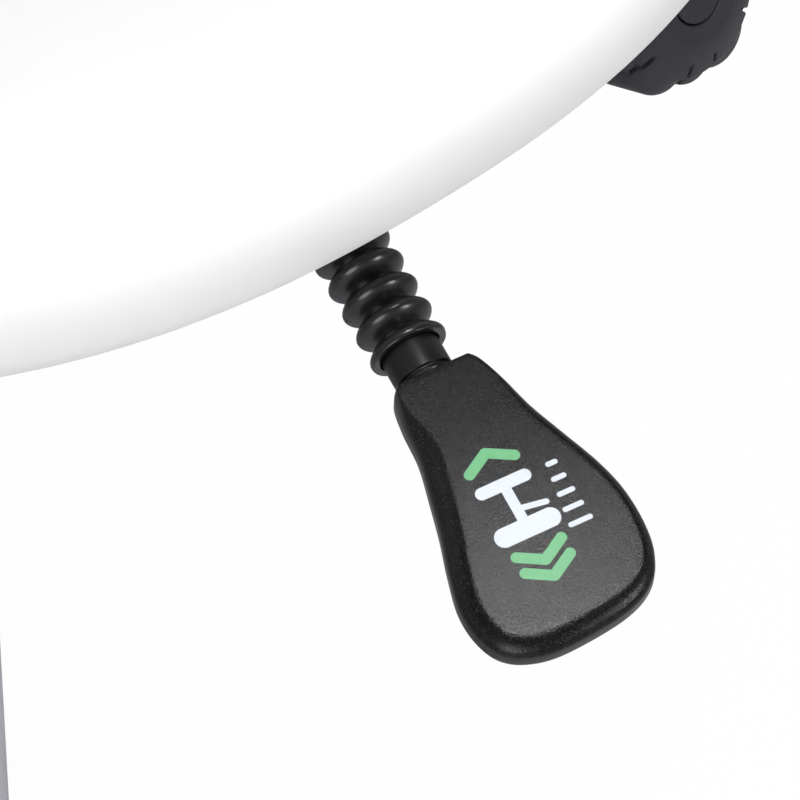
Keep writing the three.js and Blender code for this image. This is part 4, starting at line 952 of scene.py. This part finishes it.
class MakeKnob(bpy.types.Operator):
    """Lobed tension knob with its stepped edge, grooves and cap"""

    # The edge falls in from each lobe's crest by one less the sine of the way across it, to this power,
    # and a groove lies between two lobes: its depth falls as exp(-x^4), x in half widths from its middle.
    LOBE_POWER = 0.7

    bl_idname = "stool.knob"
    bl_label = "Knob"

    def execute(self, context):
        sizes = context.scene.stool_knob
        out, level = heading(sizes.yaw, sizes.rise)
        space = axes(out, level, np.cross(out, level), np.array(sizes.middle))
        half = sizes.depth / 2
        rim = half - sizes.dome
        well = sizes.cap_radius + 0.35 * MM
        wall = [(0, -half), (sizes.radius - 2 * MM, -half), (sizes.radius, 2 * MM - half),
                (sizes.radius, rim - 1.4 * MM), (sizes.radius - 1.4 * MM, rim)]
        dome = [(sizes.radius * share, rim + sizes.dome * rise)
                for share, rise in ((0.82, 0.34), (0.73, 0.56), (0.645, 0.74), (0.56, 0.89), (0.475, 1.0))]
        side = rounded([*wall, *dome, (well, half), (well, half - 2.6 * MM), (0, half - 2.6 * MM)], 0.9 * MM, 6)
        parts = [side[:1]]
        for first, last in zip(side[:-1], side[1:]):
            pieces = max(1, int(np.linalg.norm(last - first) / (0.6 * MM)))
            parts.append(first + (last - first) * np.linspace(0, 1, pieces + 1)[1:, None])
        profile = np.vstack(parts)[1:-1]
        turn = np.linspace(0, 2 * math.pi, 640, endpoint=False)
        edges = np.cumsum([0, *LOBE_TURN_SHARES]) / sum(LOBE_TURN_SHARES)
        place_round = ((turn - sizes.phase) / (2 * math.pi)) % 1.0
        lobe = np.clip(np.searchsorted(edges, place_round, side="right") - 1, 0, len(LOBE_TURN_SHARES) - 1)
        after = (place_round - edges[lobe]) * 2 * math.pi * sizes.radius
        before = (edges[lobe + 1] - place_round) * 2 * math.pi * sizes.radius
        share = np.clip(after / (after + before - sizes.lobe_gap), 0, 1)
        swell = np.array(LOBE_RISE_SHARES)[lobe] * np.sin(np.pi * share) ** self.LOBE_POWER
        radius, height = profile[:, :1], profile[:, 1:]
        outer = np.clip((radius - 0.82 * sizes.radius) / (0.1 * sizes.radius), 0, 1)
        reach = radius - sizes.lobe_depth * outer * (1 - swell)
        near = np.minimum(after, before) * radius / sizes.radius
        cut = np.exp(-(near / sizes.groove_wide) ** 4)
        ramp = np.clip((radius - sizes.groove_start) / (1.2 * MM), 0, 1) * (height > rim - 1.2 * MM)
        tall = height - sizes.groove * cut * ramp
        rings = np.stack([reach * np.cos(turn), reach * np.sin(turn), tall], -1)
        piece = surface("knob", put(rings, space), "knob", "knob_plastic",
                        put(np.array([0, 0, -half]), space), put(np.array([0, 0, half - 2.6 * MM]), space), smooth=50.0)
        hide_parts("knob_body")
        cap = rounded([(0, half - 2.4 * MM), (sizes.cap_radius, half - 2.4 * MM), (sizes.cap_radius, half + 0.1 * MM),
                       (sizes.cap_radius - 1.2 * MM, half + 0.3 * MM), (0, half + 0.3 * MM)], 0.5 * MM)
        lid = lathe("knob_lid", cap, space, "knob", "knob_plastic", 72)
        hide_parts("knob_cap")
        return {"FINISHED"}


class MakeColumn(bpy.types.Operator):
    """Rounded base with its rubber pad, column tube, guide bush and gas cylinder"""

    bl_idname = "stool.column"
    bl_label = "Base and column"

    def execute(self, context):
        sizes = context.scene.stool_column
        self.make_pad(sizes)
        self.make_cover(sizes)
        self.make_tube(sizes)
        self.make_cylinder(sizes)
        return {"FINISHED"}

    def make_pad(self, sizes):
        """Flat in the middle, then a curve that rises by the square of the way out, and an upright lip."""
        edge = sizes.rocker_radius - 10 * MM
        out = np.linspace(sizes.flat_radius, edge, 30)
        rise = sizes.rocker_rise * ((out - sizes.flat_radius) / (edge - sizes.flat_radius)) ** 2
        inner = np.linspace(sizes.rocker_radius - 13.7 * MM, sizes.flat_radius, 16)
        inner_rise = sizes.rocker_rise * ((inner - sizes.flat_radius) / (edge - sizes.flat_radius)) ** 2
        inner_rise = inner_rise + sizes.pad_thick
        side, top, inside = sizes.rocker_radius, sizes.lip_height, sizes.rocker_radius - sizes.lip_wide
        shelf = top - sizes.lip_wide
        lip = rounded([(edge, sizes.rocker_rise), (side - 1.5 * MM, sizes.rocker_rise + 5 * MM),
                       (side, sizes.rocker_rise + 12 * MM), (side, top), (inside, top), (inside, shelf),
                       (inner[0], shelf), (inner[0], inner_rise[0])], 1.2 * MM)
        floor = [(0, sizes.pad_thick)]
        profile = np.vstack([[(0, 0)], np.c_[out, rise], lip[1:-1], np.c_[inner, inner_rise], floor])
        piece = lathe("base_pad", profile, UPRIGHT, "base", "base_rubber", 160)
        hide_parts("rocker_pad")

    def make_cover(self, sizes):
        """Bell curve: the radius falls by the sine of the way up, and the height gathers at the neck."""
        share = np.linspace(0, 1, 50)
        rim, foot = sizes.rocker_radius - 5.3 * MM, sizes.lip_height - 4.7 * MM
        radius = rim - (rim - sizes.neck_radius) * np.sin(share * math.pi / 2) ** 0.92
        rest = sizes.neck_height - sizes.lip_height - sizes.flare
        height = foot + sizes.flare * share + rest * share ** 4 + sizes.lip_wide * share
        top = sizes.neck_height + 10 * MM
        bore = sizes.tube_radius + 0.3 * MM
        collar = rounded([(radius[-1], height[-1]), (sizes.neck_radius, top), (bore, top), (bore, top - 3 * MM),
                          (radius[-1] - 3 * MM, top - 3 * MM)], 1.5 * MM)
        inside = np.c_[radius - 3 * MM, height][::-1]
        profile = np.vstack([np.c_[radius, height], collar[1:], inside, [(radius[0], height[0])]])
        piece = lathe("base_cover", profile, UPRIGHT, "base", "silver", 160)
        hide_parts("base_shell")

    def make_tube(self, sizes):
        wall, hole, top = 2 * MM, 4.3 * MM, sizes.tube_top
        low, outer = sizes.tube_low, sizes.tube_radius
        tube = rounded([(hole, low), (outer, low), (outer, top), (outer - wall, top), (outer - wall, low + 4 * MM),
                        (hole, low + 4 * MM), (hole, low)], 0.6 * MM)
        piece = lathe("outer_tube", tube, UPRIGHT, "base", "silver", 128)
        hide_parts("column_tube")
        seat, rim, inner = top + 0.3 * MM, outer - 0.3 * MM, sizes.cylinder_radius + 0.2 * MM
        foot, fit = top - sizes.bush_long, outer - wall - 0.3 * MM
        bush = rounded([(inner, foot), (fit, foot), (fit, seat), (rim, seat), (rim, seat + 2 * MM),
                        (fit, seat + 4 * MM), (inner, seat + 4 * MM), (inner, foot)], 0.6 * MM)
        sleeve = lathe("bush", bush, UPRIGHT, "base", "black_plastic", 96)
        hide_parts("guide_bush")

    def make_cylinder(self, sizes):
        radius, low, top = sizes.cylinder_radius, sizes.cylinder_low, sizes.cylinder_top
        profile = rounded([(5.3 * MM, low), (radius, low), (radius, top - 52 * MM), (13.2 * MM, top - 1 * MM),
                           (12.2 * MM, top), (4.1 * MM, top), (4.1 * MM, top - 16 * MM), (2 * MM, top - 16 * MM),
                           (2 * MM, top - 22 * MM), (radius - 2 * MM, top - 22 * MM), (radius - 2 * MM, low + 12 * MM),
                           (5.3 * MM, low + 12 * MM), (5.3 * MM, low)], 0.8 * MM)
        piece = lathe("lift_cylinder", profile, UPRIGHT, "lift", "cylinder_black", 96)
        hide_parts("gas_cylinder")


# Fasteners and plates that show from below are dressed with a welded, softly shaded copy.
SHOWN_HARDWARE = [
    "seat_pan", "column_hub", "gimbal_ring", "hub_pin_front", "hub_pin_back", "gimbal_pin_right", "gimbal_pin_left",
    "tension_housing", "tension_arm", "lever_rod", "lever_pivot_pin", "valve_pin", "tube_socket", "tension_stud",
    "piston_rod", "retaining_clip",
] + [f"{name}_{i}" for name in ("seat_bolt", "pad_screw", "socket_screw") for i in range(1, 5)] + [
    "arm_screw_1", "arm_screw_2"]
SOFT_BUFFERS = [f"wobble_buffer_{i}" for i in range(1, 5)]


class DressHardware(bpy.types.Operator):
    """Finishes on all other parts of the frame"""

    bl_idname = "stool.hardware"
    bl_label = "Hardware"

    def execute(self, context):
        slots = {part["node"]: part["material_slot"] for part in frame["record"]["subparts"]}
        for node, source in frame["nodes"].items():
            if source.hide_render:
                continue
            if node in SHOWN_HARDWARE:
                piece = self.softened(node, source)
                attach(piece, BODY_OF[node])
                self.settle(piece, node, slots[node])
            elif node in SOFT_BUFFERS:
                self.make_buffer(node, source, slots[node])
            elif node == "tension_spring":
                self.make_spring(node, source, slots[node])
            else:
                dress(source, slots[node])
        return {"FINISHED"}

    def settle(self, piece, node, slot):
        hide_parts(node)
        dress(piece, slot)

    def make_buffer(self, node, source, slot):
        """Rubber buffer in two halves that meet at its middle bulge, each a welded copy of one side of the part,
        closed by a flat face and left where it stands."""
        low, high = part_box(node)
        middle = (low + high) / 2
        foot, head = Vector((middle.x, middle.y, low.z)), Vector((middle.x, middle.y, high.z))
        halves = (("_foot", -1, foot, middle, "lift", "tilt_ring"), ("_head", 1, middle, head, "tilt_ring", "seat"))
        for ending, side, start, end, first, second in halves:
            piece = self.softened(node, source, ending, (middle, (0, 0, side)))
            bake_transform(piece)
            self.settle(piece, node, slot)

    def make_spring(self, node, source, slot):
        """Tension spring as a welded, softly shaded copy of the part; its ends are found from the nut's place, but
        neither end moves.
        """
        low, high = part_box(node)
        nut_low, nut_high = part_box("follower_nut")
        middle = (low + high) / 2
        ends = [Vector((middle.x, middle.y, low.z)), Vector((middle.x, middle.y, high.z))]
        if (nut_low + nut_high).z / 2 < middle.z:
            ends.reverse()
        piece = self.softened(node, source)
        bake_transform(piece)
        self.settle(piece, node, slot)

    def softened(self, node, source, ending="_fine", half=None):
        """Copy of a part's mesh with its corners welded and only its real edges sharp. half is a point and a
        direction: only what lies on that side of the point is kept, closed by a flat face."""
        mesh = bpy.data.meshes.new(node + ending)
        work = bmesh.new()
        work.from_mesh(source.data)
        bmesh.ops.remove_doubles(work, verts=work.verts, dist=0.002 * MM)
        if half:
            everything = work.verts[:] + work.edges[:] + work.faces[:]
            cut = bmesh.ops.bisect_plane(work, geom=everything, plane_co=half[0], plane_no=half[1], clear_inner=True)
            rim = [item for item in cut["geom_cut"] if isinstance(item, bmesh.types.BMEdge)]
            bmesh.ops.contextual_create(work, geom=rim)
            bmesh.ops.recalc_face_normals(work, faces=work.faces)
        work.to_mesh(mesh)
        work.free()
        mesh.polygons.foreach_set("use_smooth", np.ones(len(mesh.polygons), bool))
        mesh.set_sharp_from_angle(angle=math.radians(38))
        return linked(node + ending, mesh)


# Each lamp: its power's setting, its place, the point that it faces and its width, in metres.
LAMPS = [
    ("key_light", (2.15, 0.62, 1.2), (0.2, 0.0, 0.62), 0.5),
    ("soft_light", (0.54, -0.05, 1.9), (0.28, 0.0, 0.6), 0.36),
    ("broad_light", (-1.3, 1.0, 2.0), (0.0, 0.0, 0.66), 1.5),
    ("front_light", (1.65, -1.85, 1.02), (0.0, 0.0, 0.66), 1.4),
]


class MakeStage(bpy.types.Operator):
    """Pale floor, even soft light and the camera"""

    bl_idname = "stool.stage"
    bl_label = "Stage"

    def execute(self, context):
        settings = context.scene.stool_stage
        self.make_camera(context.scene, settings)
        self.make_world(context.scene, settings)
        self.make_floor(settings)
        for name, spot, target, size in LAMPS:
            self.make_lamp(name, spot, target, size, getattr(settings, name))
        context.scene.view_settings.view_transform = "Standard"
        return {"FINISHED"}

    def make_camera(self, scene, settings):
        data = bpy.data.cameras.new("camera")
        data.sensor_width = 36
        data.lens = settings.focal
        data.clip_end = 50
        camera = linked("camera", data)
        turn, lift, roll = settings.azimuth, settings.elevation, settings.roll
        back = Vector((math.sin(turn) * math.cos(lift), -math.cos(turn) * math.cos(lift), math.sin(lift)))
        level = Vector((math.cos(turn), math.sin(turn), 0))
        over = back.cross(level)
        right = math.cos(roll) * level + math.sin(roll) * over
        up = -math.sin(roll) * level + math.cos(roll) * over
        camera.matrix_world = Matrix.Translation(settings.camera) @ Matrix((right, up, back)).transposed().to_4x4()
        scene.camera = camera

    def make_world(self, scene, settings):
        """Even light that falls off towards the zenith, and that the camera sees as white."""
        world = bpy.data.worlds.new("pale_room")
        world.use_nodes = True
        tree = world.node_tree
        background = tree.nodes["Background"]
        heading = shader_node(tree, "ShaderNodeTexCoord").outputs["Generated"]
        height = shader_node(tree, "ShaderNodeSeparateXYZ", {0: heading}).outputs[2]
        fall = maths(tree, "MULTIPLY", maths(tree, "MAXIMUM", height, 0.0), settings.zenith - settings.sky)
        even = maths(tree, "ADD", settings.sky, fall)
        seen = seen_share(tree)
        strength = maths(tree, "ADD", maths(tree, "MULTIPLY", even, maths(tree, "SUBTRACT", 1.0, seen)), seen)
        background.inputs[0].default_value = (1, 1, 1, 1)
        tree.links.new(strength, background.inputs[1])
        scene.world = world

    def make_floor(self, settings):
        mesh = bpy.data.meshes.new("floor")
        half = 12.0
        corners = [(-half, -half, 0), (half, -half, 0), (half, half, 0), (-half, half, 0)]
        mesh.from_pydata(corners, [], [(0, 1, 2, 3)])
        floor = linked("floor", mesh)
        material = bpy.data.materials.new("pale_floor")
        material.use_nodes = True
        tree = material.node_tree
        shader = tree.nodes["Principled BSDF"]
        point = shader_node(tree, "ShaderNodeTexCoord").outputs["Object"]
        marks = use_group(tree, "handling_marks", {"Point": point, "Base": 0.8, "Spread": 0.1, "Patches": 4.0})
        sock(tree, shader, "Base Color", tuple(settings.floor))
        sock(tree, shader, "Roughness", marks.outputs["Roughness"])
        glow = shader_node(tree, "ShaderNodeEmission", {"Color": (1, 1, 1, 1), "Strength": 1.02})
        blend = tree.nodes.new("ShaderNodeMixShader")
        tree.links.new(maths(tree, "MULTIPLY", seen_share(tree), 0.95), blend.inputs[0])
        tree.links.new(shader.outputs[0], blend.inputs[1])
        tree.links.new(glow.outputs[0], blend.inputs[2])
        tree.links.new(blend.outputs[0], tree.nodes["Material Output"].inputs[0])
        mesh.materials.append(material)

    def make_lamp(self, name, spot, target, size, power):
        data = bpy.data.lights.new(name, "AREA")
        data.shape = "DISK"
        data.size = size
        data.energy = power
        lamp = linked(name, data)
        lamp.location = spot
        lamp.rotation_euler = (Vector(target) - Vector(spot)).to_track_quat("-Z", "Y").to_euler()


def seen_share(tree):
    """1 for rays from the camera or through clear glass, else 0."""
    path = tree.nodes.new("ShaderNodeLightPath")
    return maths(tree, "MAXIMUM", path.outputs["Is Camera Ray"], path.outputs["Is Transmission Ray"])


OPERATORS = [MakeCushion, MakeBoot, MakeCollar, MakePaddle, MakeKnob, MakeColumn, DressHardware, MakeStage]


class StoolPanel(bpy.types.Panel):
    """Sizes, colours and steps of the stool"""

    bl_idname = "VIEW3D_PT_stool"
    bl_label = "Wobble stool"
    bl_space_type = "VIEW_3D"
    bl_region_type = "UI"
    bl_category = "Stool"

    def draw(self, context):
        for operator in OPERATORS:
            self.layout.operator(operator.bl_idname)
        for key, group in SETTINGS.items():
            box = self.layout.box()
            for field in group.__annotations__:
                box.prop(getattr(context.scene, key), field)


def register():
    for item in [*SETTINGS.values(), *OPERATORS, StoolPanel]:
        bpy.utils.register_class(item)
    for key, group in SETTINGS.items():
        setattr(bpy.types.Scene, key, bpy.props.PointerProperty(type=group))


def unregister():
    for key in SETTINGS:
        delattr(bpy.types.Scene, key)
    for item in reversed([*SETTINGS.values(), *OPERATORS, StoolPanel]):
        bpy.utils.unregister_class(item)


def main():
    register()
    for operator in OPERATORS:
        group, name = operator.bl_idname.split(".")
        getattr(getattr(bpy.ops, group), name)()


if __name__ == "__main__":
    main()
